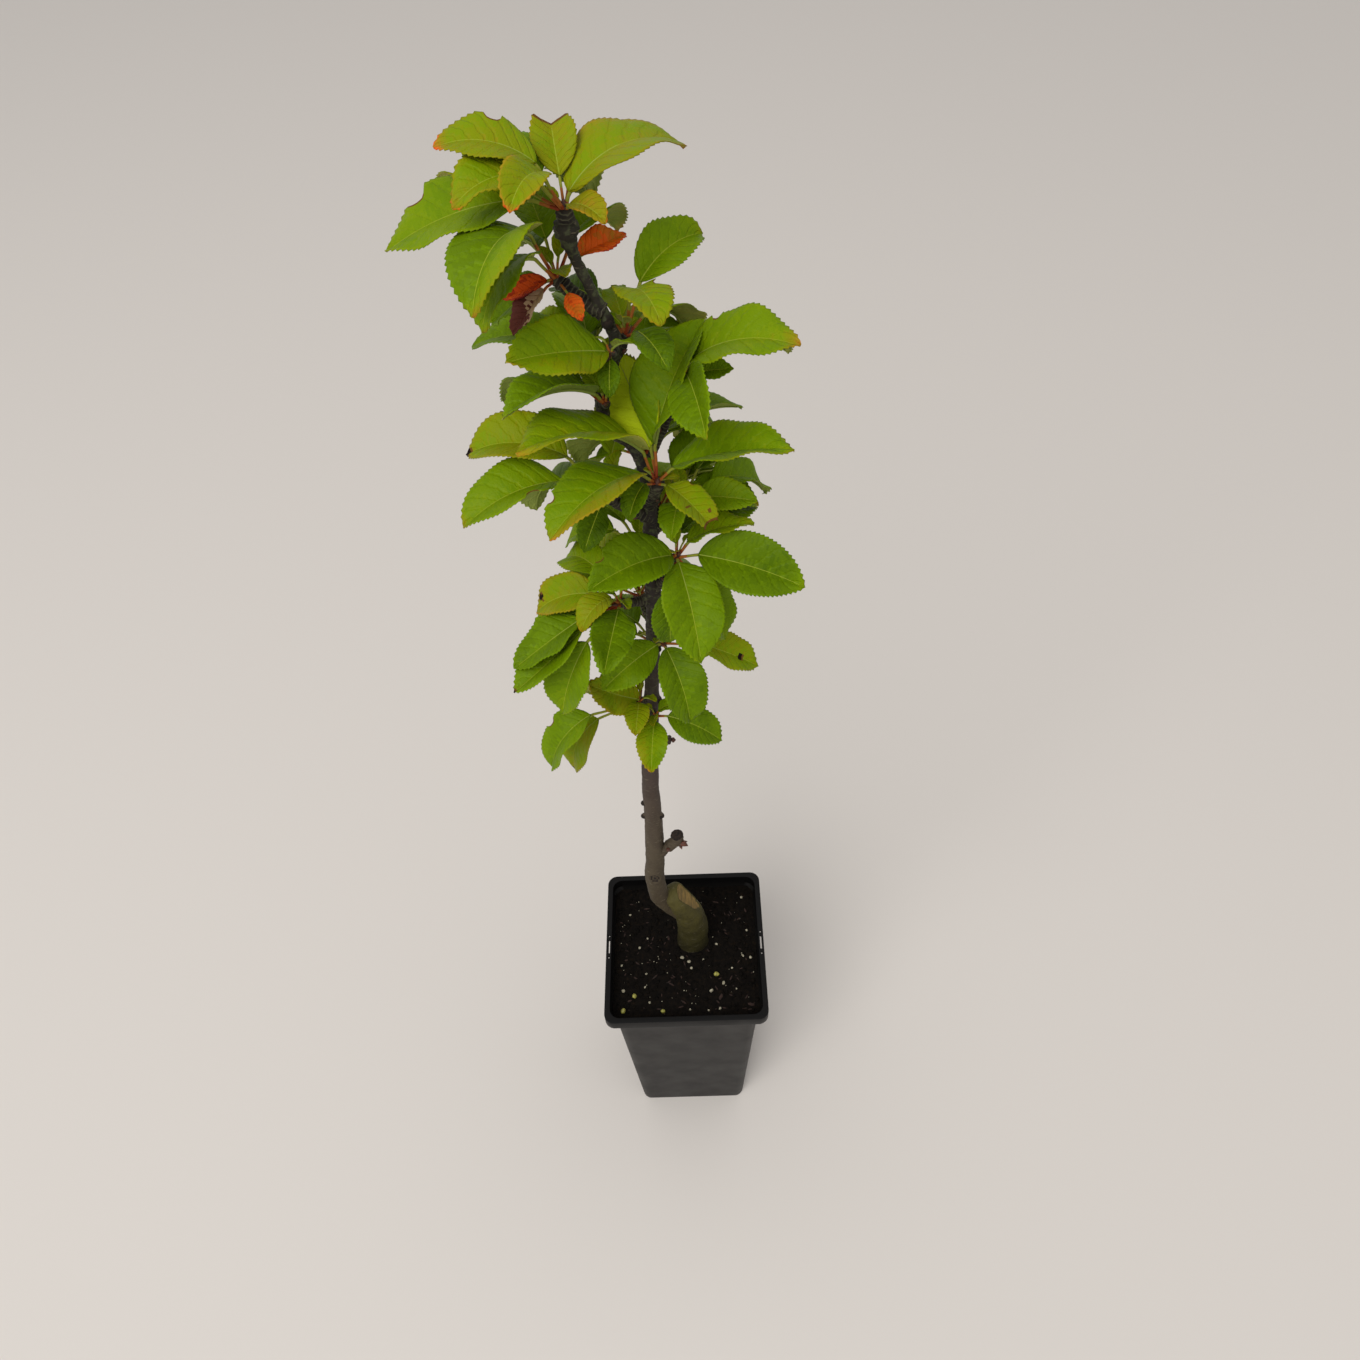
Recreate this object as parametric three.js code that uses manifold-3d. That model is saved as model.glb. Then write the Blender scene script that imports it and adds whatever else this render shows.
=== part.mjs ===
// Potted columnar fruit tree: a small grafted pillar tree in a deep square nursery pot.
// Millimetres, +Z up. The origin is the centre of the pot's flat underside, and the front of the
// tree faces -Y. A bearing is an angle in plan: 0 points to +X, 90 to +Y and 270 to the front.
import * as THREE from 'three';
import { mergeVertices } from 'three/addons/utils/BufferGeometryUtils.js';
import Module from 'manifold-3d';

const wasm = await Module();
wasm.setup();

// Pot and soil
const POT_HEIGHT = 230;
const POT_FOOT = 96;
const POT_BODY = 117;
const LIP_WIDTH = 130;
const LIP_DROP = 10;
const SKIRT = 1.2;
const MOUTH = 121.6;
const COLLAR = 124;
const COLLAR_FOOT = 220;
const SHOULDER = 211;
const WALL = 2;
const EDGE = 1;
const CORNER = 8;
const CORNER_STEPS = 4;
const SLOT_LENGTH = 11.5;
const SLOT_WIDTH = 1.8;
const RIVET_HOLE = 1.8;
const RIVET_STEP = 3.7;
const HOLE_SIDES = 10;
const DRAIN_HOLE = 12;
const DRAIN_SPACING = 28;
const DRAINS = [[-1, -1], [-1, 0], [-1, 1], [0, -1], [0, 1], [1, -1], [1, 0], [1, 1]];
const SOIL_BELOW_RIM = 12;
const SOIL_TOP = POT_HEIGHT - SOIL_BELOW_RIM;

// What one piece keeps to the next
const GAP = 0.3;
const GROUND = SOIL_TOP + GAP;

// Wood: a station is [x, y, z, diameter]. The stock ends in a slanting cut, and the grafted stem
// leaves its side and ends in the swollen tip that carries the top leaves.
const STOCK = [
  [6.8, 10, GROUND, 26], [6.8, 10, 226, 24.6], [6.8, 10, 248, 24.2], [3.5, 10, 270, 22.5],
  [-3, 10, 290, 20], [-7, 10, 304, 17],
];
const SNAG_CUT = { at: [6, 10, 288], lean: 60, width: 50, depth: 24 };
const STEM = [
  [2, 10, 262, 14], [-8, 10, 279, 14.6], [-16.5, 9, 296, 14.6], [-19, 8, 318, 14.8],
  [-19, 8, 338, 14.8], [-17.4, 8, 364, 13.8], [-16.2, 8, 405, 12.6], [-15, 8, 470, 11],
  [-10, 8, 540, 8.8], [-5.5, 8, 600, 7.4], [-3.5, 8, 665, 6.6], [-2.5, 8, 704, 5.8],
  [-8, 8, 726, 5.2], [-19, 8, 738, 5], [-18, 8, 760, 4.8], [-11.5, 8, 780, 4.8],
  [-19, 8, 803, 4.4], [-25, 8, 820, 4.6], [-26, 8, 827, 8], [-26, 8, 833, 10],
];
const KNOTS = [
  [-18.8, 3, 340, 8], [-21.5, 7, 432, 4], [-22.5, 7, 416, 4], [-10, 6, 417, 4], [-5.5, 7, 543, 4],
  [-14, 6, 543, 4.5], [-3.5, 6, 589, 4], [-14, 6, 790, 5], [-12.5, 6, 768, 4],
];
const STUB_BRANCH = [[-17.6, 8, 364, 8.4], [-8, 6.5, 375.5, 7.4], [-1, 4, 388, 7.6], [0, 3, 397, 8]];
const STUB_KNOBS = [[-6, 3.4, 378, 5.5], [1.5, 4, 386, 6]];
const SHORT_STUB = [[-12.5, 8, 503, 5], [-3, 7, 503, 4.6], [0.5, 6.5, 503, 6]];
const STOCK_SIDES = 12;
const LIMB_SIDES = 8;

// Spurs: a bough sags by a share of its length, and the spur's own tip runs on past the point
// that its leaves spread from. The girths are shares of the spur's diameter.
const BOUGH_SAG = 0.06;
const BOUGH_GIRTH = [0.85, 0.8, 1];
const SPUR_GIRTH = [1, 0.9, 0.5];
const SPUR_TIP = 1.5;
const SPUR_FOOT = 2.5;

// Leaves: the blade starts NECK degrees lower than its stalk, and its halves fold up by FOLD
const NECK = 20;
const FOLD = 20;
const BLADE_WIDTH = 0.62;
const BLADE_BROADEST = 0.88;
const BLADE_ROUNDNESS = 0.72;
const BLADE_THICKNESS = 1 / 38;
const BLADE_STEPS = 5;
const TIP_WIDTH = 0.5;
const STALK = 1.5;

// A leaf that would touch another or a limb is turned aside on a widening spiral. Spare leaves go
// round the bearing that their spur faces, a golden angle apart, and shrink a little at each turn.
const CLEARANCE = 0.4;
const FREE_STALK = 0.45;
const TURNS = 18;
const TURN_STEP = 1.5;
const GOLDEN_ANGLE = 137.5;
const SPARE_SPREAD = 150;
const SPARE_SHRINK = 0.97;
const SPARE_WOBBLE = 8;
const SPARE_LEAF = { rise: [5, 55], droop: [45, 85], stalk: [10, 20], blade: [34, 50], roll: [-20, 20] };
const SEED = 20817;

// Each rosette sits at the end of a spur that leaves the stem at root. One with a bough stands on
// a limb of its own. A leaf is [bearing, rise of the stalk, droop of the blade, stalk, blade, roll].
const ROSETTES = [
  {
    name: 'crown_top', root: [-26, 8, 830], at: [-26, 8, 836.3], thick: 7, reach: 80, spare: 2, facing: 165,
    leaves: [
      [185, 65, 65, 20, 38, -15], [215, 55, 70, 18, 37, -10], [246, 57, 86, 22, 28, -15],
      [190, 25, 35, 14, 58, -10], [100, 60, 15, 12, 30, 0], [30, 70, 85, 7, 55, 0],
      [315, 45, 55, 5, 21, 10], [150, 20, 15, 18, 46, 10],
    ],
  },
  {
    name: 'side_spur', root: [-15.3, 8, 794], at: [-33, 12, 807], thick: 6, reach: 88, spare: 2, facing: 140,
    bough: true,
    leaves: [
      [245, 60, 105, 30, 53, 10], [240, 50, 95, 20, 44, 15], [110, 50, 20, 16, 30, 0],
      [195, 5, 0, 4, 20, -15], [165, -15, 10, 6, 34, -25], [300, -10, 0, 10, 13, 20],
      [40, 25, 10, 13, 25, 15], [220, -10, 5, 7, 22, 0],
    ],
  },
  {
    name: 'back_right', root: [-15, 8, 768], at: [-7.5, 16, 778], thick: 5, reach: 68, spare: 2, facing: 130,
    bough: true,
    leaves: [
      [40, 65, 65, 23, 38, 30], [295, 70, 90, 25, 36, -5], [105, 50, 40, 8, 20, -10],
      [300, 35, 60, 14, 26, 0], [130, 25, 40, 22, 32, -10],
    ],
  },
  {
    name: 'upper_left', root: [-11.5, 8, 779], at: [-13.5, 2, 778.5], thick: 5, reach: 65, spare: 0,
    facing: 180,
    leaves: [[215, 45, 20, 3, 47, -30], [265, -10, 30, 3, 16, 0]],
  },
  {
    name: 'middle_left', root: [-19.5, 8, 750], at: [-18, 2, 754], thick: 5, reach: 70, spare: 2, facing: 175,
    leaves: [[215, 60, 65, 9, 47, 10]],
  },
  {
    name: 'front', root: [-2.5, 8, 695], at: [2, -2, 713], thick: 8, reach: 90, spare: 0, facing: 90,
    bough: true,
    leaves: [
      [212, 75, 65, 22, 68, 10], [225, 50, 70, 14, 58, 10], [245, 35, 75, 14, 21, -5],
      [50, 85, 50, 22, 60, -40], [114, 76, 35, 18, 46, -75], [350, 50, 30, 13, 57, -5],
      [315, 20, 45, 8, 32, -5],
    ],
  },
  {
    name: 'left', root: [-2.5, 8, 684], at: [-22, 2, 703], thick: 6, reach: 84, spare: 2, facing: 160,
    bough: true,
    leaves: [[175, 55, 70, 28, 50, -10], [205, 40, 60, 26, 52, 0], [245, -5, 20, 6, 24, -20]],
  },
  {
    name: 'right_high', root: [-4, 8, 712], at: [16, 14, 759], thick: 4.5, reach: 75, spare: 3, facing: 105,
    bough: true,
    leaves: [[345, 70, 65, 8, 52, 10], [280, 35, 50, 13, 40, 45], [355, 25, 0, 5, 18, 35]],
  },
  {
    name: 'right_middle', root: [-3, 8, 674], at: [13.5, 16, 687], thick: 5, reach: 68, spare: 2, facing: 100,
    bough: true,
    leaves: [[345, 30, 10, 8, 31, 30], [260, 40, 60, 11, 26, 20], [60, 25, 25, 18, 40, 5]],
  },
  {
    name: 'right_low', root: [-4.5, 8, 632], at: [9.5, 2, 662], thick: 5.5, reach: 75, spare: 2, facing: 110,
    bough: true,
    leaves: [
      [345, 20, 20, 12, 56, 35], [215, 50, 40, 4, 51, -20], [285, 5, 45, 4, 53, -10],
      [320, -20, 35, 10, 44, -5], [0, 60, 50, 12, 35, -10], [260, -25, 55, 17, 32, -10],
    ],
  },
  {
    name: 'low_front', root: [-5.5, 8, 598], at: [-0.5, 0, 600.5], thick: 5, reach: 65, spare: 1, facing: 120,
    leaves: [[355, 0, 15, 21, 36, 15], [295, 5, 70, 5, 46, 0], [215, 15, 30, 4, 39, -30]],
  },
  {
    name: 'low_left', root: [-5, 8, 628], at: [-21, 0, 632.5], thick: 5.5, reach: 78, spare: 2, facing: 150,
    bough: true,
    leaves: [
      [175, 30, 65, 13, 39, -25], [175, -5, -5, 9, 43, -35], [200, 5, 5, 22, 44, 5],
      [215, -5, -10, 24, 49, 10], [225, -20, 40, 27, 46, -10], [260, 15, 5, 6, 41, -15],
      [225, 55, 110, 10, 27, 0],
    ],
  },
  {
    name: 'bottom_left', root: [-10, 8, 542.5], at: [-16.5, 3.5, 546.5], thick: 4.5, reach: 80, spare: 2,
    facing: 165,
    leaves: [
      [205, 60, -10, 3, 41, -50], [260, 45, 50, 5, 24, 0], [210, 15, 85, 33, 46, 5],
      [195, -15, 60, 27, 48, -25],
    ],
  },
  {
    name: 'bottom_right', root: [-10.5, 8, 532], at: [-8, 0.5, 535.5], thick: 4.5, reach: 55, spare: 0,
    facing: 0,
    leaves: [[345, 15, 40, 8, 37, 25], [265, 20, 40, 6, 32, 0]],
  },
  rearRosette('rear_bottom', [-8, 8, 566], [-7, 25, 574], 90),
  rearRosette('rear_low', [-5.2, 8, 606], [-12, 23, 614], 120),
  rearRosette('rear_lower_middle', [-4, 8, 640], [-10, 25, 650], 95),
  rearRosette('rear_middle', [-3.2, 8, 668], [3, 24, 677], 65),
  rearRosette('rear_upper_middle', [-2.5, 8, 696], [-4, 25, 708], 95),
  rearRosette('rear_high', [-19.7, 8, 748], [-24, 24, 758], 105),
];

// A rosette on the side away from the front, with spare leaves alone
function rearRosette(name, root, at, facing) {
  return { name, root, at, thick: 5, reach: 70, spare: 7, facing, bough: true, leaves: [] };
}

const potPlastic = new THREE.MeshStandardMaterial({ color: '#1b1a1c', roughness: 0.55, metalness: 0 });
const soilMix = new THREE.MeshStandardMaterial({ color: '#1a130e', roughness: 1, metalness: 0 });
const bark = new THREE.MeshStandardMaterial({ color: '#5b5249', roughness: 0.8, metalness: 0 });
const spurBark = new THREE.MeshStandardMaterial({ color: '#33292b', roughness: 0.85, metalness: 0 });
const leafGreen = new THREE.MeshStandardMaterial({ color: '#6c8f1c', roughness: 0.5, metalness: 0 });

const { degToRad: radians, lerp } = THREE.MathUtils;
const vector = ([x, y, z]) => new THREE.Vector3(x, y, z);

// Seeded numbers from 0 to 1
let seed = SEED;
function chance() {
  seed = (seed * 16807) % 2147483647;
  return seed / 2147483647;
}
const between = (low, high) => lerp(low, high, chance());

// A closed geometry as a solid, with its shared vertices merged and its collapsed faces dropped
function solid(geometry) {
  geometry.deleteAttribute('normal');
  geometry.deleteAttribute('uv');
  const merged = mergeVertices(geometry, 1e-4);
  const corners = merged.index.array;
  const kept = [];
  for (let i = 0; i < corners.length; i += 3) {
    const [a, b, c] = [corners[i], corners[i + 1], corners[i + 2]];
    if (a !== b && b !== c && c !== a) kept.push(a, b, c);
  }
  return new wasm.Manifold(new wasm.Mesh({
    numProp: 3,
    vertProperties: new Float32Array(merged.attributes.position.array),
    triVerts: new Uint32Array(kept),
  }));
}

function joined(solids) {
  return solids.reduce((whole, piece) => whole.add(piece));
}

// A three.js mesh with flat faces from a solid
function part(name, body, material) {
  const { vertProperties, triVerts } = body.getMesh();
  const geometry = new THREE.BufferGeometry();
  geometry.setAttribute('position', new THREE.BufferAttribute(new Float32Array(vertProperties), 3));
  geometry.setIndex(new THREE.BufferAttribute(new Uint32Array(triVerts), 1));
  geometry.computeVertexNormals();
  const mesh = new THREE.Mesh(geometry, material);
  mesh.name = name;
  return mesh;
}

// A cylinder bent along frames of { point, side, normal }; section gives the place of a point of
// the unit circle across the frame with that number
function sweep(frames, sides, section) {
  const steps = frames.length - 1;
  const tube = new THREE.CylinderGeometry(1, 1, 1, sides, steps);
  const places = tube.getAttribute('position');
  const spot = new THREE.Vector3();
  for (let i = 0; i < places.count; i += 1) {
    spot.fromBufferAttribute(places, i);
    const k = Math.round((spot.y + 0.5) * steps);
    const { point, side, normal } = frames[k];
    const [across, above] = section(k, spot.x, spot.z);
    spot.copy(point).addScaledVector(side, across).addScaledVector(normal, above);
    places.setXYZ(i, spot.x, spot.y, spot.z);
  }
  return solid(tube);
}

// A round limb through stations, whose diameter changes evenly between them
function limb(stations, sides = LIMB_SIDES, stepsPerSpan = 2, extra = 0) {
  const curve = new THREE.CatmullRomCurve3(stations.map(vector), false, 'centripetal');
  const spans = stations.length - 1;
  const steps = spans * stepsPerSpan;
  const lies = Math.abs(curve.getTangent(0).x) > 0.8;
  const side = lies ? new THREE.Vector3(0, 1, 0) : new THREE.Vector3(1, 0, 0);
  const frames = [];
  for (let k = 0; k <= steps; k += 1) {
    const tangent = curve.getTangent(k / steps);
    side.addScaledVector(tangent, -side.dot(tangent)).normalize();
    const normal = side.clone().cross(tangent);
    frames.push({ point: curve.getPoint(k / steps), side: side.clone(), normal });
  }
  return sweep(frames, sides, (k, x, z) => {
    const along = k / stepsPerSpan;
    const span = Math.min(Math.floor(along), spans - 1);
    const radius = lerp(stations[span][3], stations[span + 1][3], along - span) / 2 + extra;
    return [x * radius, z * radius];
  });
}

function knob([x, y, z, diameter], extra = 0) {
  return solid(new THREE.IcosahedronGeometry(diameter / 2 + extra, 0).translate(x, y, z));
}

// A body with a rounded square plan, turned through a profile of [half width, height]
function squareTurned(profile, corner) {
  const around = 4 * (CORNER_STEPS + 1);
  const turned = new THREE.LatheGeometry(profile.map(([half, z]) => new THREE.Vector2(half, z)), around);
  const places = turned.getAttribute('position');
  for (let i = 0; i < places.count; i += 1) {
    const [half, z] = profile[i % profile.length];
    const spot = Math.floor(i / profile.length) % around;
    const quarter = Math.floor(spot / (CORNER_STEPS + 1));
    const angle = radians(90 * (quarter + (spot % (CORNER_STEPS + 1)) / CORNER_STEPS));
    const radius = Math.min(corner, half);
    const middle = radians(90 * quarter + 45);
    const x = Math.sign(Math.cos(middle)) * (half - radius) + radius * Math.cos(angle);
    const y = Math.sign(Math.sin(middle)) * (half - radius) + radius * Math.sin(angle);
    places.setXYZ(i, x, y, z);
  }
  return solid(turned);
}

// The pot's tapering wall, with a collar, a narrow flange and a short skirt as its lip
const outerWall = (z) => lerp(POT_FOOT, POT_BODY, z / POT_HEIGHT) / 2;
const innerWall = (z) => outerWall(z) - WALL;

// The wall widens above its shoulder into a collar, so that the mouth reaches close to the lip
const innerCollar = (z) => lerp(innerWall(SHOULDER), MOUTH / 2, (z - SHOULDER) / (COLLAR_FOOT - SHOULDER));

function upright(diameter) {
  const drill = new THREE.CylinderGeometry(diameter / 2, diameter / 2, 3 * WALL, HOLE_SIDES);
  return drill.rotateX(Math.PI / 2);
}

// Two slots in the flange, each with a rivet hole at both ends, and the drain holes in the floor
function potHoles() {
  const holes = DRAINS.map(([across, along]) => (
    upright(DRAIN_HOLE).translate(across * DRAIN_SPACING, along * DRAIN_SPACING, 0)
  ));
  const flangeMiddle = (COLLAR / 2 + LIP_WIDTH / 2 - SKIRT) / 2;
  for (const across of [-flangeMiddle, flangeMiddle]) {
    holes.push(new THREE.BoxGeometry(SLOT_WIDTH, SLOT_LENGTH, 3 * WALL).translate(across, 0, POT_HEIGHT));
    for (const end of [-1, 1]) {
      holes.push(upright(RIVET_HOLE).translate(across, end * (SLOT_LENGTH / 2 + RIVET_STEP), POT_HEIGHT));
    }
  }
  return holes.map(solid);
}

function pot() {
  const lip = LIP_WIDTH / 2;
  const underLip = POT_HEIGHT - WALL;
  const shell = squareTurned([
    [0, 0], [outerWall(0) - EDGE, 0], [outerWall(EDGE), EDGE], [outerWall(SHOULDER), SHOULDER],
    [COLLAR / 2, COLLAR_FOOT], [COLLAR / 2, underLip], [lip - SKIRT, underLip],
    [lip - SKIRT, POT_HEIGHT - LIP_DROP], [lip, POT_HEIGHT - LIP_DROP], [lip, POT_HEIGHT - EDGE],
    [lip - EDGE, POT_HEIGHT], [MOUTH / 2, POT_HEIGHT], [MOUTH / 2, COLLAR_FOOT],
    [innerWall(SHOULDER), SHOULDER], [innerWall(WALL), WALL], [0, WALL],
  ], CORNER);
  return potHoles().reduce((body, hole) => body.subtract(hole), shell);
}

function soil() {
  const floor = WALL + GAP;
  return squareTurned([
    [0, floor], [innerWall(floor) - GAP, floor], [innerWall(SHOULDER) - GAP, SHOULDER],
    [innerCollar(SOIL_TOP) - GAP, SOIL_TOP], [0, SOIL_TOP],
  ], CORNER);
}

// Stock, stem and knots; extra makes them thicker all round, as a guard for what keeps clear
function trunk(extra = 0) {
  const { at, lean, width, depth } = SNAG_CUT;
  const cut = new THREE.BoxGeometry(width, width, depth).translate(0, 0, depth / 2 + extra);
  cut.rotateY(radians(lean)).translate(...at);
  const stock = limb(STOCK, STOCK_SIDES, 2, extra).subtract(solid(cut));
  return joined([stock, limb(STEM, LIMB_SIDES, 2, extra), ...KNOTS.map((place) => knob(place, extra))]);
}

// Frames of a leaf that stands at a point: one where its stalk starts, then one at each step of
// the blade, which bends down evenly by its droop
function leafFrames(at, [bearing, rise, droop, stalk, blade, roll], stalkFrom = 0) {
  const flat = new THREE.Vector3(Math.cos(radians(bearing)), Math.sin(radians(bearing)), 0);
  const up = new THREE.Vector3(0, 0, 1);
  const left = up.clone().cross(flat);
  const heading = (slope) => (
    flat.clone().multiplyScalar(Math.cos(radians(slope))).addScaledVector(up, Math.sin(radians(slope)))
  );
  const frameAt = (point, slope) => {
    const tangent = heading(slope);
    const above = tangent.clone().cross(left);
    const side = left.clone().multiplyScalar(-Math.cos(radians(roll)));
    side.addScaledVector(above, -Math.sin(radians(roll)));
    return { point: point.clone(), side, normal: side.clone().cross(tangent) };
  };
  const slopeAt = (t) => rise - NECK - droop * t;
  const point = at.clone().addScaledVector(heading(rise), stalk * stalkFrom);
  const frames = [frameAt(point, rise)];
  point.copy(at).addScaledVector(heading(rise), stalk);
  for (let k = 0; k <= BLADE_STEPS; k += 1) {
    frames.push(frameAt(point, slopeAt(k / BLADE_STEPS)));
    point.addScaledVector(heading(slopeAt((k + 0.5) / BLADE_STEPS)), blade / BLADE_STEPS);
  }
  return frames;
}

// Half the width of a blade at t, as a share of its full width
const outline = (t) => Math.sin(Math.PI * t ** BLADE_BROADEST) ** BLADE_ROUNDNESS / 2;

// One leaf: a four-sided stalk from inside the spur that widens into the folded blade
function leafSolid(at, leaf, extra = 0, stalkFrom = 0) {
  const blade = leaf[4];
  const thick = blade * BLADE_THICKNESS / 2;
  return sweep(leafFrames(at, leaf, stalkFrom), 4, (k, x, z) => {
    if (k <= 1) return [x * (STALK / 2 + extra), z * (STALK / 2 + extra)];
    const half = Math.max(outline((k - 1) / BLADE_STEPS) * BLADE_WIDTH * blade, TIP_WIDTH) + extra;
    const fold = Math.abs(x) * half * Math.sin(radians(FOLD));
    return [x * half * Math.cos(radians(FOLD)), z * Math.min(thick + extra, half) + fold];
  });
}

const stemGuard = trunk(GAP);

function touches(body, others) {
  return others.some((other) => !body.intersect(other).isEmpty());
}

// Puts a leaf at its own place or turned aside, or leaves it out where it would reach too far or
// touch. Leaves of one rosette share their spur, so they keep clear past the foot of their stalks.
function placeLeaf(spray, leaf, shrink = 1) {
  const at = vector(spray.at);
  const own = [stemGuard, ...spray.boughs, ...spray.placed.map(({ outer }) => outer)];
  const others = sprays.filter((other) => other !== spray).flatMap(({ boughs, spur, placed }) => (
    [...boughs, spur, ...placed.map(({ whole }) => whole)]
  ));
  for (let n = 0; n < TURNS; n += 1) {
    const turned = [...leaf];
    turned[0] += TURN_STEP * n * Math.cos(radians(n * GOLDEN_ANGLE));
    turned[1] += TURN_STEP * n * Math.sin(radians(n * GOLDEN_ANGLE));
    turned[4] *= shrink ** n;
    const inReach = leafFrames(at, turned).at(-1).point.distanceTo(at) < spray.reach;
    const clear = () => !touches(leafSolid(at, turned, CLEARANCE, FREE_STALK), own)
      && !touches(leafSolid(at, turned, CLEARANCE), others);
    if (inReach && clear()) {
      spray.placed.push({ whole: leafSolid(at, turned), outer: leafSolid(at, turned, 0, FREE_STALK) });
      return;
    }
  }
}

function spareLeaves({ spare, facing }) {
  const { rise, droop, stalk, blade, roll } = SPARE_LEAF;
  const dealt = [];
  for (let n = 0; n < spare; n += 1) {
    const swing = ((n * GOLDEN_ANGLE) % 360) / 360 - 0.5;
    const bearing = facing + swing * SPARE_SPREAD + between(-SPARE_WOBBLE, SPARE_WOBBLE);
    dealt.push([bearing, ...[rise, droop, stalk, blade, roll].map((range) => between(...range))]);
  }
  return dealt;
}

// The point of a spur that lies a distance past its leaves, or short of them where it is negative
function alongSpur({ root, at }, distance) {
  const towards = vector(at).sub(vector(root)).normalize();
  return [...vector(at).addScaledVector(towards, distance)];
}

// A limb from inside the stem to just short of the rosette's own stem
function boughSolid(rosette) {
  const { root, thick } = rosette;
  const end = alongSpur(rosette, -SPUR_FOOT - GAP);
  const middle = vector(root).lerp(vector(end), 0.5);
  middle.z -= vector(root).distanceTo(vector(end)) * BOUGH_SAG;
  const stations = [root, middle, end].map((place, k) => [...place, thick * BOUGH_GIRTH[k]]);
  return limb(stations).subtract(stemGuard);
}

function spurSolid(rosette) {
  const { root, at, thick, bough } = rosette;
  const foot = bough ? alongSpur(rosette, -SPUR_FOOT) : root;
  const tip = alongSpur(rosette, SPUR_TIP);
  const stations = [foot, at, tip].map((place, k) => [...place, thick * SPUR_GIRTH[k]]);
  return limb(stations, LIMB_SIDES, 1).subtract(stemGuard);
}

// The leaves that show from the front are placed first, and the spare ones fill in behind them
const sprays = ROSETTES.map((rosette) => (
  { ...rosette, boughs: rosette.bough ? [boughSolid(rosette)] : [], spur: spurSolid(rosette), placed: [] }
));
for (const spray of sprays) {
  for (const leaf of spray.leaves) placeLeaf(spray, leaf);
}
for (const spray of sprays) {
  for (const leaf of spareLeaves(spray)) placeLeaf(spray, leaf, SPARE_SHRINK);
}

const tree = new THREE.Group();
for (const { name, boughs, spur, placed } of sprays) {
  for (const bough of boughs) tree.add(part(`bough_${name}`, bough, spurBark));
  tree.add(part(`leaves_${name}`, joined([spur, ...placed.map(({ whole }) => whole)]), leafGreen));
}

const lowStub = joined([limb(STUB_BRANCH), ...STUB_KNOBS.map((place) => knob(place))]);
tree.add(part('pot', pot(), potPlastic));
tree.add(part('soil', soil(), soilMix));
tree.add(part('trunk', trunk(), bark));
tree.add(part('stub_branch_low', lowStub.subtract(stemGuard), bark));
tree.add(part('stub_branch_short', limb(SHORT_STUB, LIMB_SIDES, 1).subtract(stemGuard), bark));

export default tree;
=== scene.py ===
"""A small grafted cherry tree in a deep square nursery pot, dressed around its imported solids.

The tables are in millimetres, +Z is up and the front faces -Y. A bearing is an angle in plan:
0 points to +X, 90 to the back and 270 to the front.
"""
import math
import random

import bmesh
import bpy
import numpy as np
from bpy.props import FloatProperty, FloatVectorProperty, IntProperty, PointerProperty
from mathutils import Matrix, Vector, noise
from mathutils.bvhtree import BVHTree


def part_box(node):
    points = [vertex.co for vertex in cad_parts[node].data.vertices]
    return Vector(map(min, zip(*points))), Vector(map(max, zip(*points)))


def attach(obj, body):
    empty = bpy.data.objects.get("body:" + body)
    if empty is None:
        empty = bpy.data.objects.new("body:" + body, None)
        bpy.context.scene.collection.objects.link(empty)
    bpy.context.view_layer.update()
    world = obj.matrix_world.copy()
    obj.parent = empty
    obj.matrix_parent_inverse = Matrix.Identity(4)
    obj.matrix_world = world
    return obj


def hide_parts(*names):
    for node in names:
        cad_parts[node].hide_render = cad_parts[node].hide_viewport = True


bl_info = {
    "name": "Potted columnar cherry tree",
    "version": (1, 0, 0),
    "blender": (4, 5, 0),
    "location": "3D View > Sidebar > Tree",
    "description": "Builds a small pillar tree in a square pot, leaf by leaf",
    "category": "Object",
}

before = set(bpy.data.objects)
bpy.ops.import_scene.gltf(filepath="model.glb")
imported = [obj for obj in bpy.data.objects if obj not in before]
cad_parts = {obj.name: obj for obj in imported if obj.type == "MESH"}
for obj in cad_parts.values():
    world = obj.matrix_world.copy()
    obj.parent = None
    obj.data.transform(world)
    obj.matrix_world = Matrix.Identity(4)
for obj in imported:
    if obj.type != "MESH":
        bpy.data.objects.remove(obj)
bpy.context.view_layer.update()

MM = 0.001
GOLDEN_ANGLE = 137.5

# The soil's top, and what the wood keeps clear of it
SOIL_TOP = 218
GAP = 0.3
GROUND = SOIL_TOP + GAP

# Wood: a station is [x, y, z, diameter]
STOCK = [
    [6.8, 10, 211, 27], [6.8, 10, GROUND, 26], [6.8, 10, 226, 24.6], [6.8, 10, 248, 24.2],
    [3.5, 10, 270, 22.5], [-3, 10, 290, 20], [-7, 10, 304, 17],
]
SNAG_CUT = {"at": (6, 10, 288), "lean": 60}
STEM = [
    [2, 10, 262, 14], [-8, 10, 279, 14.6], [-16.5, 9, 296, 14.6], [-19, 8, 318, 14.8],
    [-19, 8, 338, 14.8], [-17.4, 8, 364, 13.8], [-16.2, 8, 405, 12.6], [-15, 8, 470, 11],
    [-10, 8, 540, 8.8], [-5.5, 8, 600, 7.4], [-3.5, 8, 665, 6.6], [-2.5, 8, 704, 5.8],
    [-8, 8, 726, 5.2], [-19, 8, 738, 5], [-18, 8, 760, 4.8], [-11.5, 8, 780, 4.8],
    [-19, 8, 803, 4.4], [-25, 8, 820, 4.6], [-26, 8, 827, 8], [-26, 8, 833, 10],
]
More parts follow.
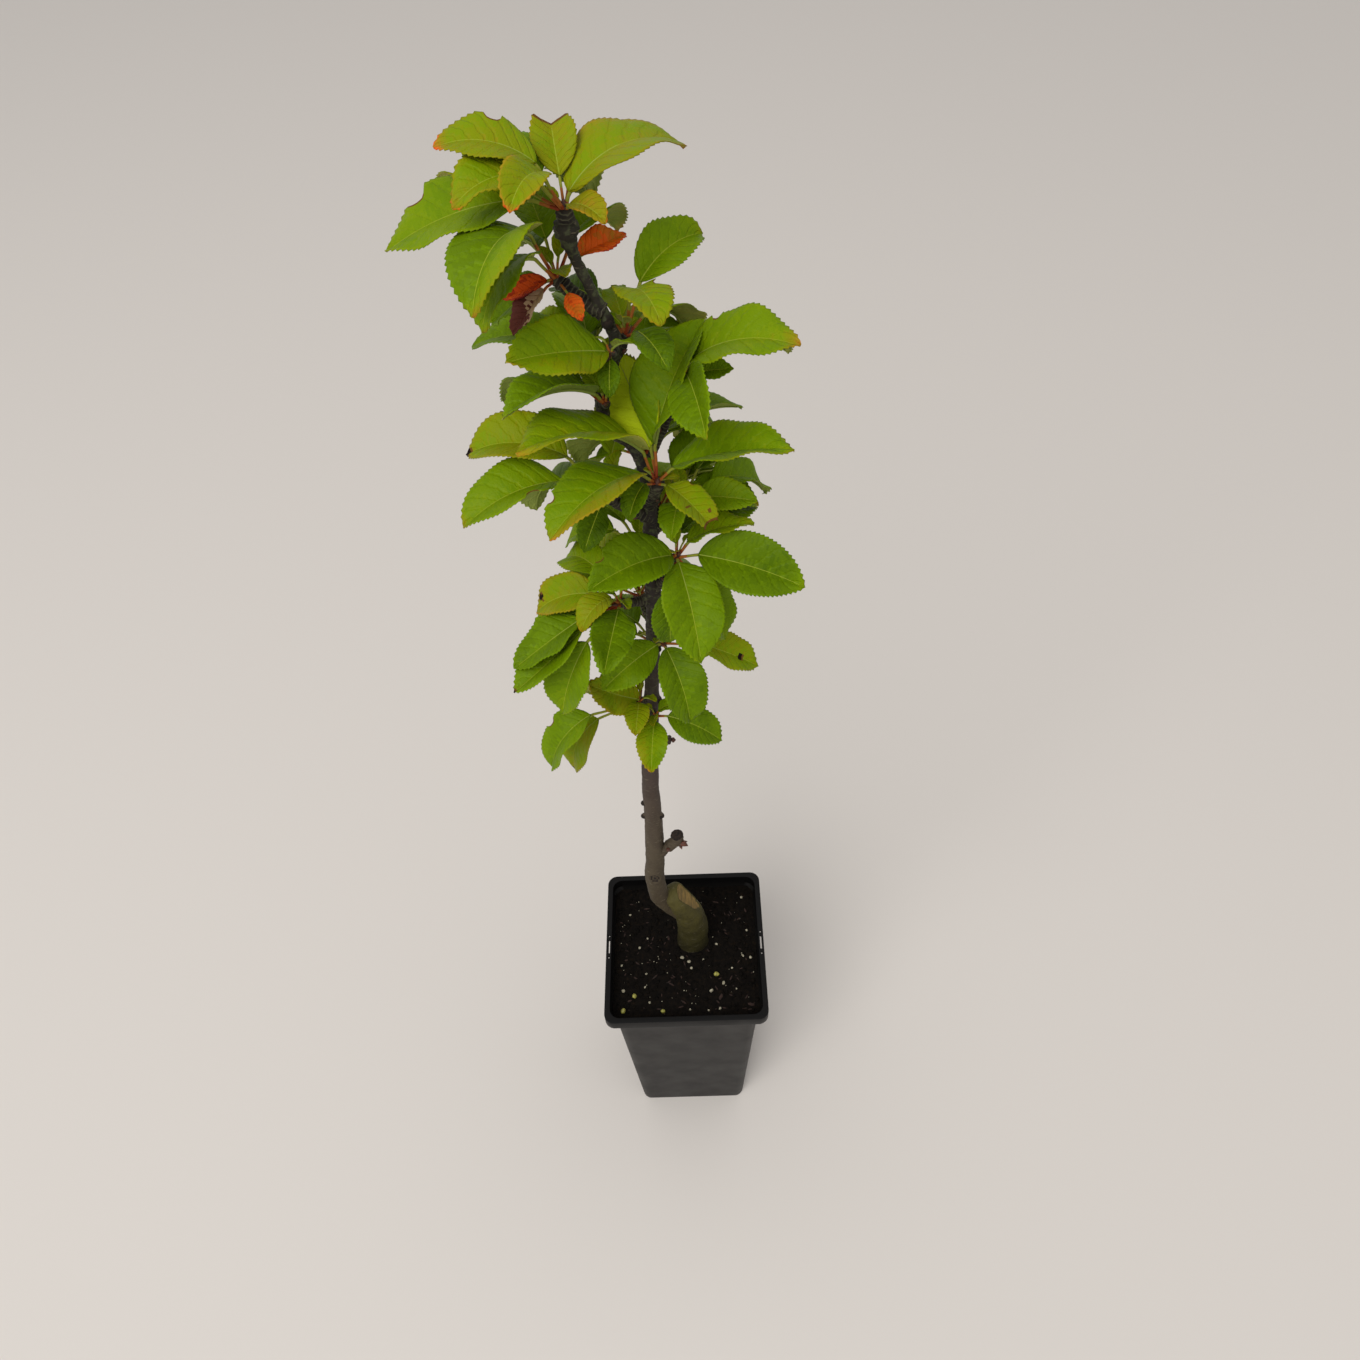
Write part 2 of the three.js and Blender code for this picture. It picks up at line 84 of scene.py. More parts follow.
KNOTS = [
    [-18.8, 3, 340, 8], [-21.5, 7, 432, 4], [-22.5, 7, 416, 4], [-10, 6, 417, 4], [-5.5, 7, 543, 4],
    [-14, 6, 543, 4.5], [-3.5, 6, 589, 4], [-14, 6, 790, 5], [-12.5, 6, 768, 4],
]
LOW_STUB = [[-17.6, 8, 364, 8.4], [-8, 6.5, 375.5, 7.4], [-1, 4, 388, 7.6], [0, 3, 397, 8]]
LOW_STUB_KNOBS = [[-6, 3.4, 378, 5.5], [1.5, 4, 386, 6]]
SHORT_STUB = [[-12.5, 8, 503, 5], [-3, 7, 503, 4.6], [0.5, 6.5, 503, 6]]

# Spurs: shares of the spur's diameter along it, and how far its tip runs on past the leaves
BOUGH_SAG = 0.06
BOUGH_GIRTH = [0.85, 0.8, 1]
SPUR_GIRTH = [1, 0.9, 0.5]
SPUR_TIP = 1.5
SPUR_FOOT = 2.5

# Leaves
NECK = 20
FOLD = 20
BLADE_WIDTH = 0.62
BLADE_BROADEST = 0.88
BLADE_ROUNDNESS = 0.72
BLADE_THICKNESS = 1 / 38
BLADE_STEPS = 5
TIP_WIDTH = 0.5
STALK = 1.5
CLEARANCE = 0.4
FREE_STALK = 0.45
TURNS = 18
TURN_STEP = 1.5
SPARE_SPREAD = 150
SPARE_SHRINK = 0.97
SPARE_WOBBLE = 8
SPARE_LEAF = [[5, 55], [45, 85], [10, 20], [34, 50], [-20, 20]]
SPARE_LOOKS = ["deep", "deep", "deep", "mid", "mid", "mid", "bright", "olive"]
SPARE_TIPS = [0, 0, 0, 0.2, 0.45]
YOUNG_LEAVES = 3
YOUNG_WOBBLE = 20
YOUNG_SHRINK = 0.92
YOUNG_LEAF = [[50, 85], [10, 60], [4, 9], [9, 18], [-25, 25]]
YOUNG_LOOKS = ["bright", "lime", "mid", "olive"]
SEED = 20817

# How ripe a leaf looks, from 0, deep green, over yellow to 1, dark red:
# [all over, more at its tip, more along its margin]
LOOKS = {
    # The dark look is painted shade: a darker copy of the green for leaves that lie in shade under others
    "dark": [0.08, 0.04, 0.0], "deep": [0.19, 0.08, 0.03], "mid": [0.29, 0.10, 0.04],
    "bright": [0.37, 0.10, 0.04], "pale": [0.42, 0.05, 0.03], "lime": [0.46, 0.08, 0.04],
    "olive": [0.44, 0.14, 0.06], "yellow": [0.56, 0.10, 0.08], "orange": [0.83, 0.06, 0.04],
    # The fresh look is a young lime-green leaf, painted brighter as painted light for the light that shines
    # through it in the shade of the leaves above
    "red": [0.91, 0.06, 0.04], "withered": [0.0, 0.0, 0.0], "fresh": [0.5, 0.05, 0.0],
}


def rosette(name, root, at, thick, reach, spare, facing, bough, *leaves):
    """A spur that leaves the stem at root, with leaves that spread from at"""
    return {"name": name, "root": np.array(root, float), "at": np.array(at, float), "thick": thick,
            "reach": reach, "spare": spare, "facing": facing, "bough": bough, "leaves": leaves}


def leaf(bearing, rise, droop, stalk, blade, roll, look, **marks):
    """A leaf's shape as in the source, its look, and what marks it: tip, edge and side add
    ripeness there, bites and spots are (along, across, mm), fold and turn are in degrees"""
    return [bearing, rise, droop, stalk, blade, roll], look, marks


ROSETTES = [
    rosette(
        "crown_top", [-26, 8, 830], [-26, 8, 836.3], 7, 80, 2, 165, False,
        leaf(185, 65, 65, 20, 38, -15, "olive", tip=0.34, side=-0.06, bites=[(0.45, 1, 3)], fold=14),
        leaf(215, 55, 70, 18, 37, -10, "olive", tip=0.35, edge=0.15, bites=[(0.5, -1, 1.5)], fold=20),
        leaf(246, 57, 86, 22, 28, -15, "olive", tip=0.4, edge=0.22, fold=24),
        leaf(190, 25, 35, 14, 58, -10, "bright", bites=[(0.7, 1, 4)], fold=14),
        leaf(100, 60, 15, 12, 30, 0, "lime", bites=[(1, 0, 7)], fold=24),
        leaf(30, 70, 85, 7, 55, 0, "olive", tip=0.4, edge=0.18, bites=[(0.62, -1, 1.2)], fold=12),
        leaf(315, 45, 55, 5, 21, 10, "yellow"),
        leaf(150, 20, 15, 18, 46, 10, "pale"),
    ),
    rosette(
        "side_spur", [-15.3, 8, 794], [-33, 12, 807], 6, 88, 2, 140, True,
        leaf(245, 60, 105, 30, 53, 10, "deep", tip=0.35, side=-0.2, fold=16),
        leaf(240, 50, 95, 20, 44, 15, "mid", tip=0.35, fold=16),
        leaf(110, 50, 20, 16, 30, 0, "mid"),
        leaf(195, 5, 0, 4, 20, -15, "red"),
        leaf(165, -15, 10, 6, 34, -25, "deep"),
        leaf(300, -10, 0, 10, 13, 20, "orange", tip=0.1),
        leaf(40, 25, 10, 13, 25, 15, "orange", tip=0.1),
        leaf(220, -10, 5, 7, 22, 0, "withered"),
    ),
    rosette(
        "back_right", [-15, 8, 768], [-7.5, 16, 778], 5, 68, 2, 130, True,
        leaf(40, 65, 65, 23, 38, 30, "mid", tip=0.25, fold=32),
        leaf(295, 70, 90, 25, 36, -5, "lime", edge=0.1, bites=[(0.35, -1, 4)], fold=10),
        leaf(105, 50, 40, 8, 20, -10, "pale"),
        leaf(300, 35, 60, 14, 26, 0, "dark"),
        leaf(130, 25, 40, 22, 32, -10, "dark"),
    ),
    rosette(
        "upper_left", [-11.5, 8, 779], [-13.5, 2, 778.5], 5, 65, 0, 180, False,
        leaf(215, 45, 20, 3, 47, -30, "bright", side=-0.1),
        leaf(265, -10, 30, 3, 16, 0, "dark"),
    ),
    rosette(
        "middle_left", [-19.5, 8, 750], [-18, 2, 754], 5, 70, 2, 175, False,
        leaf(215, 60, 65, 9, 47, 10, "deep", tip=0.3, fold=28),
    ),
    rosette(
        "front", [-2.5, 8, 695], [2, -2, 713], 8, 90, 0, 90, True,
        leaf(212, 75, 65, 22, 68, 10, "bright", tip=0.25, side=-0.06, fold=14),
        leaf(225, 50, 70, 14, 58, 10, "mid", tip=0.3, side=-0.24, bites=[(0.75, 1, 2.5)], fold=18),
        leaf(245, 35, 75, 14, 21, -5, "dark"),
        leaf(50, 85, 50, 22, 60, -40, "mid", fold=34, turn=-28),
        leaf(114, 76, 35, 18, 46, -75, "fresh", fold=12, turn=-25),
        leaf(350, 50, 30, 13, 57, -5, "mid", tip=0.25, edge=0.2, fold=24),
        leaf(315, 20, 45, 8, 32, -5, "lime", bites=[(0.25, -1, 1.5), (1.02, 0, 4)],
             spots=[(0.5, 0.4, 0.9), (0.7, -0.5, 0.8)]),
    ),
    rosette(
        "left", [-2.5, 8, 684], [-22, 2, 703], 6, 84, 2, 160, True,
        leaf(175, 55, 70, 28, 50, -10, "lime", tip=0.25, spots=[(0.98, 0, 2.5)], fold=26),
        leaf(205, 40, 60, 26, 52, 0, "mid", tip=0.3, bites=[(0.35, -1, 3)]),
        leaf(245, -5, 20, 6, 24, -20, "dark"),
    ),
    rosette(
        "right_high", [-4, 8, 712], [16, 14, 759], 4.5, 75, 3, 105, True,
        leaf(345, 70, 65, 8, 52, 10, "bright", tip=0.32, bites=[(0.3, -1, 2)], fold=18),
        leaf(280, 35, 50, 13, 40, 45, "deep", tip=0.28, edge=0.12),
        leaf(355, 25, 0, 5, 18, 35, "mid"),
    ),
    rosette(
        "right_middle", [-3, 8, 674], [13.5, 16, 687], 5, 68, 2, 100, True,
        leaf(345, 30, 10, 8, 31, 30, "mid"),
        leaf(260, 40, 60, 11, 26, 20, "mid"),
        leaf(60, 25, 25, 18, 40, 5, "dark"),
    ),
    rosette(
        "right_low", [-4.5, 8, 632], [9.5, 2, 662], 5.5, 75, 2, 110, True,
        leaf(345, 20, 20, 12, 56, 35, "deep", tip=0.25),
        leaf(215, 50, 40, 4, 51, -20, "deep", bites=[(0.75, 1, 2.6)]),
        leaf(285, 5, 45, 4, 53, -10, "mid", spots=[(0.4, 0.5, 0.8)]),
        leaf(320, -20, 35, 10, 44, -5, "mid"),
        leaf(0, 60, 50, 12, 35, -10, "pale"),
        leaf(260, -25, 55, 17, 32, -10, "dark"),
    ),
    rosette(
        "low_front", [-5.5, 8, 598], [-0.5, 0, 600.5], 5, 65, 1, 120, False,
        leaf(355, 0, 15, 21, 36, 15, "pale", spots=[(0.65, 0, 1.6)], bites=[(1.03, 0.2, 3)]),
        leaf(295, 5, 70, 5, 46, 0, "deep"),
        leaf(215, 15, 30, 4, 39, -30, "mid"),
    ),
    rosette(
        "low_left", [-5, 8, 628], [-21, 0, 632.5], 5.5, 78, 2, 150, True,
        leaf(175, 30, 65, 13, 39, -25, "olive", edge=0.2, spots=[(0.8, 0.6, 1.6)]),
        leaf(175, -5, -5, 9, 43, -35, "deep", side=0.1),
        leaf(200, 5, 5, 22, 44, 5, "deep"),
        leaf(215, -5, -10, 24, 49, 10, "mid", spots=[(1, 0, 1.5)]),
        leaf(225, -20, 40, 27, 46, -10, "mid"),
        leaf(260, 15, 5, 6, 41, -15, "deep"),
        leaf(225, 55, 110, 10, 27, 0, "lime", tip=0.22),
    ),
    rosette(
        "bottom_left", [-10, 8, 542.5], [-16.5, 3.5, 546.5], 4.5, 80, 2, 165, False,
        leaf(205, 60, -10, 3, 41, -50, "lime", edge=0.18),
        leaf(260, 45, 50, 5, 24, 0, "olive", tip=0.15),
        leaf(210, 15, 85, 33, 46, 5, "mid", bites=[(0.45, 1, 3)]),
        leaf(195, -15, 60, 27, 48, -25, "lime", spots=[(1, 0, 1.8)]),
    ),
    rosette(
        "bottom_right", [-10.5, 8, 532], [-8, 0.5, 535.5], 4.5, 55, 0, 0, False,
        leaf(345, 15, 40, 8, 37, 25, "deep"),
        leaf(265, 20, 40, 6, 32, 0, "mid", tip=0.28, side=0.15),
    ),
    rosette("rear_bottom", [-8, 8, 566], [-7, 25, 574], 5, 70, 7, 90, True),
    rosette("rear_low", [-5.2, 8, 606], [-12, 23, 614], 5, 70, 7, 120, True),
    rosette("rear_lower_middle", [-4, 8, 640], [-10, 25, 650], 5, 70, 7, 95, True),
    rosette("rear_middle", [-3.2, 8, 668], [3, 24, 677], 5, 70, 7, 65, True),
    rosette("rear_upper_middle", [-2.5, 8, 696], [-4, 25, 708], 5, 70, 7, 95, True),
    rosette("rear_high", [-19.7, 8, 748], [-24, 24, 758], 5, 70, 7, 105, True),
]


# Colours and nodes

def linear(code):
    """A #rrggbb colour as the linear values that a shader takes"""
    parts = [int(code[i:i + 2], 16) / 255 for i in (1, 3, 5)]
    return (*[c / 12.92 if c <= 0.04045 else ((c + 0.055) / 1.055) ** 2.4 for c in parts], 1)


def add_node(tree, kind, settings=(), links=()):
    """Adds a node; a setting is an attribute, a socket's value or a ramp's stops, and a link goes
    to a socket"""
    new = tree.nodes.new(kind)
    for name, value in dict(settings).items():
        if name == "stops":
            for n, (place, code) in enumerate(value):
                stop = new.color_ramp.elements[n] if n < 2 else new.color_ramp.elements.new(place)
                stop.position = place
                stop.color = linear(code)
        elif isinstance(name, str) and name in new.bl_rna.properties:
            setattr(new, name, value)
        else:
            new.inputs[name].default_value = value
    for socket, source in dict(links).items():
        tree.links.new(source, new.inputs[socket])
    return new


def new_material(name, settings):
    """A principled material that looks alike in the viewport, its node tree and its shader node"""
    material = bpy.data.materials.new(name)
    material.use_nodes = True
    shader = material.node_tree.nodes["Principled BSDF"]
    for socket, value in settings.items():
        shader.inputs[socket].default_value = value
    material.diffuse_color = settings.get("Base Color", (0.5, 0.5, 0.5, 1))
    return material, material.node_tree, shader


def span(low, high, dark=0, light=1):
    """Settings of a range node that bring low..high to dark..light"""
    return {"From Min": low, "From Max": high, "To Min": dark, "To Max": light}


def speckle(tree, size, detail=3, stretch=(1, 1, 1), roughness=0.55, seen=None, values=(0, 1)):
    """Noise on Object coordinates whose lumps are about size millimetres, with the seen part of
    its range brought to the values"""
    place = add_node(tree, "ShaderNodeTexCoord").outputs["Object"]
    turned = add_node(tree, "ShaderNodeMapping", {"Scale": stretch}, {"Vector": place}).outputs["Vector"]
    settings = {"Scale": 1 / (size * MM), "Detail": detail, "Roughness": roughness}
    pattern = add_node(tree, "ShaderNodeTexNoise", settings, {"Vector": turned}).outputs["Fac"]
    if seen:
        mapped = add_node(tree, "ShaderNodeMapRange", span(*seen, *values), {"Value": pattern})
        pattern = mapped.outputs["Result"]
    return pattern


def by_height(tree, low, high, wander=0.0):
    """A share that climbs from 0 at a low height to 1 at a high one, and wanders by some metres"""
    place = add_node(tree, "ShaderNodeTexCoord").outputs["Object"]
    height = add_node(tree, "ShaderNodeSeparateXYZ", (), {"Vector": place}).outputs["Z"]
    if wander:
        shift = speckle(tree, 22, 2, seen=(0.3, 0.7), values=(-wander, wander))
        height = add_node(tree, "ShaderNodeMath", {"operation": "ADD"}, {0: height, 1: shift}).outputs[0]
    return add_node(tree, "ShaderNodeMapRange", span(low, high), {"Value": height}).outputs["Result"]


def waves(tree, attribute, shake, turns, shape, seen, values):
    """Rings or ribs: a SINE or COSINE wave along a piece's attribute, shaken a little, with the
    seen part of it brought to the values"""
    along = add_node(tree, "ShaderNodeAttribute", {"attribute_name": attribute}).outputs["Fac"]
    shift = speckle(tree, 4, 2, seen=(0.3, 0.7), values=(-shake, shake))
    place = add_node(tree, "ShaderNodeMath", {"operation": "ADD"}, {0: along, 1: shift}).outputs[0]
    turned = add_node(tree, "ShaderNodeMath", {"operation": "MULTIPLY", 1: turns}, {0: place}).outputs[0]
    wave = add_node(tree, "ShaderNodeMath", {"operation": shape}, {0: turned}).outputs[0]
    return add_node(tree, "ShaderNodeMapRange", span(*seen, *values), {"Value": wave}).outputs["Result"]


def paint(tree, shader, below, *coats):
    """Gives the shader a base colour and the coats over it, each (its pattern, its colour)"""
    for pattern, above in coats:
        settings, links = {"data_type": "RGBA"}, {0: pattern}
        for socket, colour in ((6, below), (7, above)):
            if isinstance(colour, str):
                settings[socket] = linear(colour)
            else:
                links[socket] = colour
        below = add_node(tree, "ShaderNodeMix", settings, links).outputs[2]
    tree.links.new(below, shader.inputs["Base Color"])


def relief(tree, shader, *layers):
    """Relief from patterns on top of each other, each (its pattern, its depth in millimetres,
    and its strength where that isn't full)"""
    under = {}
    for height, depth, *strength in layers:
        settings = {"Distance": depth * MM, "Strength": strength[0] if strength else 1}
        bump = add_node(tree, "ShaderNodeBump", settings, {"Height": height, **under})
        under = {"Normal": bump.outputs["Normal"]}
    tree.links.new(under["Normal"], shader.inputs["Normal"])


# Making meshes

class Shapes:
    """Points in millimetres, faces and slots, gathered into one mesh"""

    def __init__(self):
        self.points = []
        self.faces = []
        self.slots = []
        self.along = []
        self.count = 0

    def add(self, points, faces, slots=0, along=0.0):
        """Adds points with their blocks of faces, and a slot and a measure along for all or each"""
        self.points.append(points)
        self.along.append(np.broadcast_to(along, len(points)))
        total = 0
        for block in faces:
            self.faces.extend((block + self.count).tolist())
            total += len(block)
        self.slots.append(np.broadcast_to(slots, total))
        self.count += len(points)

    def piece(self, name, materials, along_name=None):
        """The finished object, with its measure along kept under a name"""
        mesh = bpy.data.meshes.new(name)
        mesh.from_pydata((np.concatenate(self.points) * MM).tolist(), [], self.faces)
        for material in materials:
            mesh.materials.append(material)
        slots = np.concatenate(self.slots).astype(np.int32)
        mesh.polygons.foreach_set("material_index", slots)
        mesh.polygons.foreach_set("use_smooth", np.ones(len(slots), bool))
        if along_name:
            values = mesh.attributes.new(along_name, "FLOAT", "POINT")
            values.data.foreach_set("value", np.concatenate(self.along).astype(np.float32))
        mesh.update()
        made = bpy.data.objects.new(name, mesh)
        bpy.context.scene.collection.objects.link(made)
        return made


def pick(piece):
    """Makes a piece the only selected object"""
    bpy.ops.object.select_all(action="DESELECT")
    piece.select_set(True)
    bpy.context.view_layer.objects.active = piece


def apply_modifier(piece, kind, **settings):
    """Adds a modifier with its settings and applies it"""
    pick(piece)
    modifier = piece.modifiers.new(kind.title(), kind)
    for name, value in settings.items():
        setattr(modifier, name, value)
    bpy.ops.object.modifier_apply(modifier=modifier.name)


def hand_over(piece, slot, *nodes):
    """Rides a finished piece on the tree's one body in place of its solids"""
    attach(piece, "root")
    if nodes:
        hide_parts(*nodes)


def unit(vectors):
    """The vectors at length 1"""
    return vectors / np.linalg.norm(vectors, axis=-1, keepdims=True)


def smooth(values):
    """0 to 1 with an eased start and end"""
    eased = np.clip(values, 0, 1)
    return eased * eased * (3 - 2 * eased)


def lumps(points, size, salt=0.0):
    """Noise of about -1 to 1 at points, with lumps of that size"""
    shift = Vector((salt, -salt, 2 * salt))
    flat = points.reshape(-1, 3) / size
    values = [noise.noise(Vector(place) + shift) for place in flat]
    return np.array(values).reshape(points.shape[:-1])


# Limbs

def curve(stations, at):
    """Points, tangents and diameters of a centripetal Catmull-Rom curve, at in spans"""
    stations = np.asarray(stations, float)
    places = stations[:, :3]
    padded = np.vstack([2 * places[0] - places[1], places, 2 * places[-1] - places[-2]])
    gaps = np.sqrt(np.linalg.norm(np.diff(padded, axis=0), axis=1))
    span = np.minimum(np.floor(at).astype(int), len(stations) - 2)
    share = (at - span)[:, None]
    p0, p1, p2, p3 = (padded[span + n] for n in range(4))
    d0, d1, d2 = (gaps[span + n][:, None] for n in range(3))
    start = ((p1 - p0) / d0 - (p2 - p0) / (d0 + d1) + (p2 - p1) / d1) * d1
    finish = ((p2 - p1) / d1 - (p3 - p1) / (d1 + d2) + (p3 - p2) / d2) * d1
    square = 3 * (p2 - p1) - 2 * start - finish
    cube = 2 * (p1 - p2) + start + finish
    points = p1 + share * (start + share * (square + share * cube))
    tangents = unit(start + share * (2 * square + 3 * share * cube))
    girth = stations[:, 3]
    diameters = girth[span] + (girth[span + 1] - girth[span]) * share[:, 0]
    return points, tangents, diameters


def even_steps(stations, step):
    """Where a curve's even steps of about step millimetres fall, and the length there"""
    fine = np.linspace(0, len(stations) - 1, 40 * (len(stations) - 1) + 1)
    points = curve(stations, fine)[0]
    lengths = np.concatenate([[0], np.cumsum(np.linalg.norm(np.diff(points, axis=0), axis=1))])
    wanted = np.linspace(0, lengths[-1], max(3, int(round(lengths[-1] / step))) + 1)
    return np.interp(wanted, lengths, fine), wanted


def fan(normals, sides, around):
    """Unit vectors round each ring of a limb, an array of (rings, around, 3)"""
    turn = np.arange(around) * 2 * math.pi / around
    return (normals[:, None] * np.cos(turn)[None, :, None]
            + sides[:, None] * np.sin(turn)[None, :, None])


def spokes(tangents, around):
    """The fan of a curve, which doesn't twist along it"""
    lies = abs(tangents[0][0]) > 0.8
    side = np.array([0.0, 1.0, 0.0]) if lies else np.array([1.0, 0.0, 0.0])
    sides = []
    for tangent in tangents:
        side = side - tangent * side.dot(tangent)
        side = side / np.linalg.norm(side)
        sides.append(side)
    sides = np.array(sides)
    return fan(np.cross(sides, tangents), sides, around)


def skin(points, around, radii):
    """A limb's surface: each ring's points at their radii along its spokes"""
    return points[:, None] + around * radii[..., None]


def tube(rings):
    """Points and faces of a closed tube through rings of points"""
    count, around = rings.shape[:2]
    points = np.concatenate([rings.reshape(-1, 3), rings[:1].mean(1), rings[-1:].mean(1)])
    place = np.arange(around)
    after = (place + 1) % around
    rows = np.arange(count - 1)[:, None] * around
    sides = np.stack([rows + place, rows + after, rows + after + around, rows + place + around], -1)
    last = (count - 1) * around
    foot = np.stack([after, place, np.full(around, count * around)], -1)
    tip = np.stack([last + place, last + after, np.full(around, count * around + 1)], -1)
    return points, [sides.reshape(-1, 4), foot, tip]


def plain_limb(stations, around=8, steps=2, extra=0.0):
    """The source's own coarse limb, for keeping leaves clear of it"""
    at = np.linspace(0, len(stations) - 1, steps * (len(stations) - 1) + 1)
    points, tangents, diameters = curve(stations, at)
    return tube(skin(points, spokes(tangents, around), (diameters / 2 + extra)[:, None]))


def fine_limb(stations, step, around):
    """A limb in even steps: its lengths, middles, spokes and radii"""
    at, lengths = even_steps(stations, step)
    points, tangents, diameters = curve(stations, at)
    return lengths, points, spokes(tangents, around), diameters / 2


def rounded_end(lengths, soft, least):
    """Shares of the radius that end a limb in a dome over its last soft millimetres"""
    left = np.clip((lengths[-1] - lengths) / soft, 0, 1)
    return np.sqrt(np.maximum(1 - (1 - left) ** 2, least))[:, None]


def cover_knobs(points, directions, radii, knobs):
    """Pushes a limb's surface out to the knobs that stand on it"""
    for x, y, z, diameter in knobs:
        off = points - np.array([x, y, z])
        toward = np.einsum("rsk,rk->rs", directions, off)
        inside = toward ** 2 - ((off ** 2).sum(1) - (diameter / 2) ** 2)[:, None]
        reach = np.where(inside > 0, -toward + np.sqrt(np.maximum(inside, 0)), 0)
        radii = np.maximum(radii, reach)
    return radii


def along_spur(spray, distance):
    """The point a distance past a spur's leaves, or short of them where it is negative"""
    return spray["at"] + unit(spray["at"] - spray["root"]) * distance


def bough_stations(spray, end):
    """A limb from the stem's middle, sagging a little, to end millimetres past the leaves"""
    root, tip = spray["root"], along_spur(spray, end)
    middle = (root + tip) / 2
    middle[2] -= np.linalg.norm(tip - root) * BOUGH_SAG
    girths = [spray["thick"] * share for share in BOUGH_GIRTH]
    return [[*place, girth] for place, girth in zip((root, middle, tip), girths)]


def spur_stations(spray):
    """The short limb that carries the leaves, from the stem or from just inside its bough"""
    foot = along_spur(spray, -SPUR_FOOT) if spray["bough"] else spray["root"]
    places = (foot, spray["at"], along_spur(spray, SPUR_TIP))
    return [[*place, spray["thick"] * share] for place, share in zip(places, SPUR_GIRTH)]


# The source's rule for leaves, written again

def leaf_frames(at, shape, steps, stalk_from=0.0):
    """Frames of a leaf: one where its stalk starts, then one at each step of the blade"""
    bearing, rise, droop, stalk, blade, roll = shape
    turn = math.radians(bearing)
    flat = np.array([math.cos(turn), math.sin(turn), 0])
    left = np.array([-math.sin(turn), math.cos(turn), 0])
    up = np.array([0.0, 0, 1])

    def heading(slopes):
        slopes = np.radians(np.atleast_1d(slopes))[:, None]
        return flat * np.cos(slopes) + up * np.sin(slopes)

    share = np.arange(steps + 1) / steps
    middles = rise - NECK - droop * (share[:-1] + 0.5 / steps)
    hops = np.cumsum(heading(middles) * blade / steps, axis=0)
    foot = at + heading(rise)[0] * stalk
    start = at + heading(rise)[0] * stalk * stalk_from
    points = np.vstack([start, foot, foot + hops])
    tangents = heading(np.concatenate([[rise], rise - NECK - droop * share]))
    above = np.cross(tangents, left)
    tilt = math.radians(roll)
    sides = -(left * math.cos(tilt) + above * math.sin(tilt))
    return points, tangents, sides, np.cross(sides, tangents)


def outline(share):
    """Half the width of a blade, as a share of its full width"""
    lobe = np.clip(np.sin(math.pi * share ** BLADE_BROADEST), 0, 1)
    return lobe ** BLADE_ROUNDNESS / 2


def plain_leaf(at, shape, extra=0.0, stalk_from=0.0):
    """The source's own coarse leaf, as a surface to test for touching"""
    blade = shape[4]
    points, _, sides, normals = leaf_frames(at, shape, BLADE_STEPS, stalk_from)
    share = np.arange(BLADE_STEPS + 1) / BLADE_STEPS
    half = np.maximum(outline(share) * BLADE_WIDTH * blade, TIP_WIDTH) + extra
    thick = np.minimum(blade * BLADE_THICKNESS / 2 + extra, half)
    rings = []
    for k, point in enumerate(points):
        ring = []
        for x, z in ((0, 1), (1, 0), (0, -1), (-1, 0)):
            if k <= 1:
                across, above = x * (STALK / 2 + extra), z * (STALK / 2 + extra)
            else:
                across = x * half[k - 1] * math.cos(math.radians(FOLD))
                above = z * thick[k - 1] + abs(x) * half[k - 1] * math.sin(math.radians(FOLD))
            ring.append(point + sides[k] * across + normals[k] * above)
        rings.append(ring)
    return surface(*tube(np.array(rings)))


def surface(points, faces):
    """A surface to test for touching, with its middle and reach"""
    polygons = [face for block in faces for face in block.tolist()]
    middle = points.mean(0)
    reach = np.linalg.norm(points - middle, axis=1).max()
    return BVHTree.FromPolygons(points.tolist(), polygons), middle, reach


def touches(body, others):
    """Whether a surface cuts any of the others"""
    tree, middle, reach = body
    for other, place, size in others:
        if np.linalg.norm(middle - place) < reach + size and tree.overlap(other):
            return True
    return False


def place_leaf(sprays, guard, spray, shape, shrink=1.0):
    """Puts a leaf at its own place or turned aside on a widening spiral, or leaves it out"""
    at = spray["at"]
    own = [*guard, *spray["boughs"], *[leaf["outer"] for leaf in spray["placed"]]]
    others = [
        solid for other in sprays if other is not spray
        for solid in [*other["boughs"], other["spur"], *[leaf["whole"] for leaf in other["placed"]]]
    ]
    for n in range(TURNS):
        turned = list(shape)
        turned[0] += TURN_STEP * n * math.cos(math.radians(n * GOLDEN_ANGLE))
        turned[1] += TURN_STEP * n * math.sin(math.radians(n * GOLDEN_ANGLE))
        turned[4] *= shrink ** n
        tip = leaf_frames(at, turned, BLADE_STEPS)[0][-1]
        if np.linalg.norm(tip - at) >= spray["reach"]:
            continue
        if touches(plain_leaf(at, turned, CLEARANCE, FREE_STALK), own):
            continue
        if touches(plain_leaf(at, turned, CLEARANCE), others):
            continue
        spray["placed"].append({
            "shape": turned,
            "whole": plain_leaf(at, turned),
            "outer": plain_leaf(at, turned, 0.0, FREE_STALK),
        })
        return spray["placed"][-1]
    return None


def source_chance():
    """The source's seeded numbers from 0 to 1"""
    value = SEED
    while True:
        value = (value * 16807) % 2147483647
        yield value / 2147483647


def wood_to_avoid():
    """The stock, the stem and its knots, with a little air round them"""
    limbs = [plain_limb(STOCK[1:], 12, 2, GAP), plain_limb(STEM, 8, 2, GAP)]
    for x, y, z, diameter in KNOTS:
        half = diameter / 2
        knot = [[x, y, z - half, 1], [x, y, z, diameter], [x, y, z + half, 1]]
        limbs.append(plain_limb(knot, 8, 2, GAP))
    return [surface(*limb) for limb in limbs]


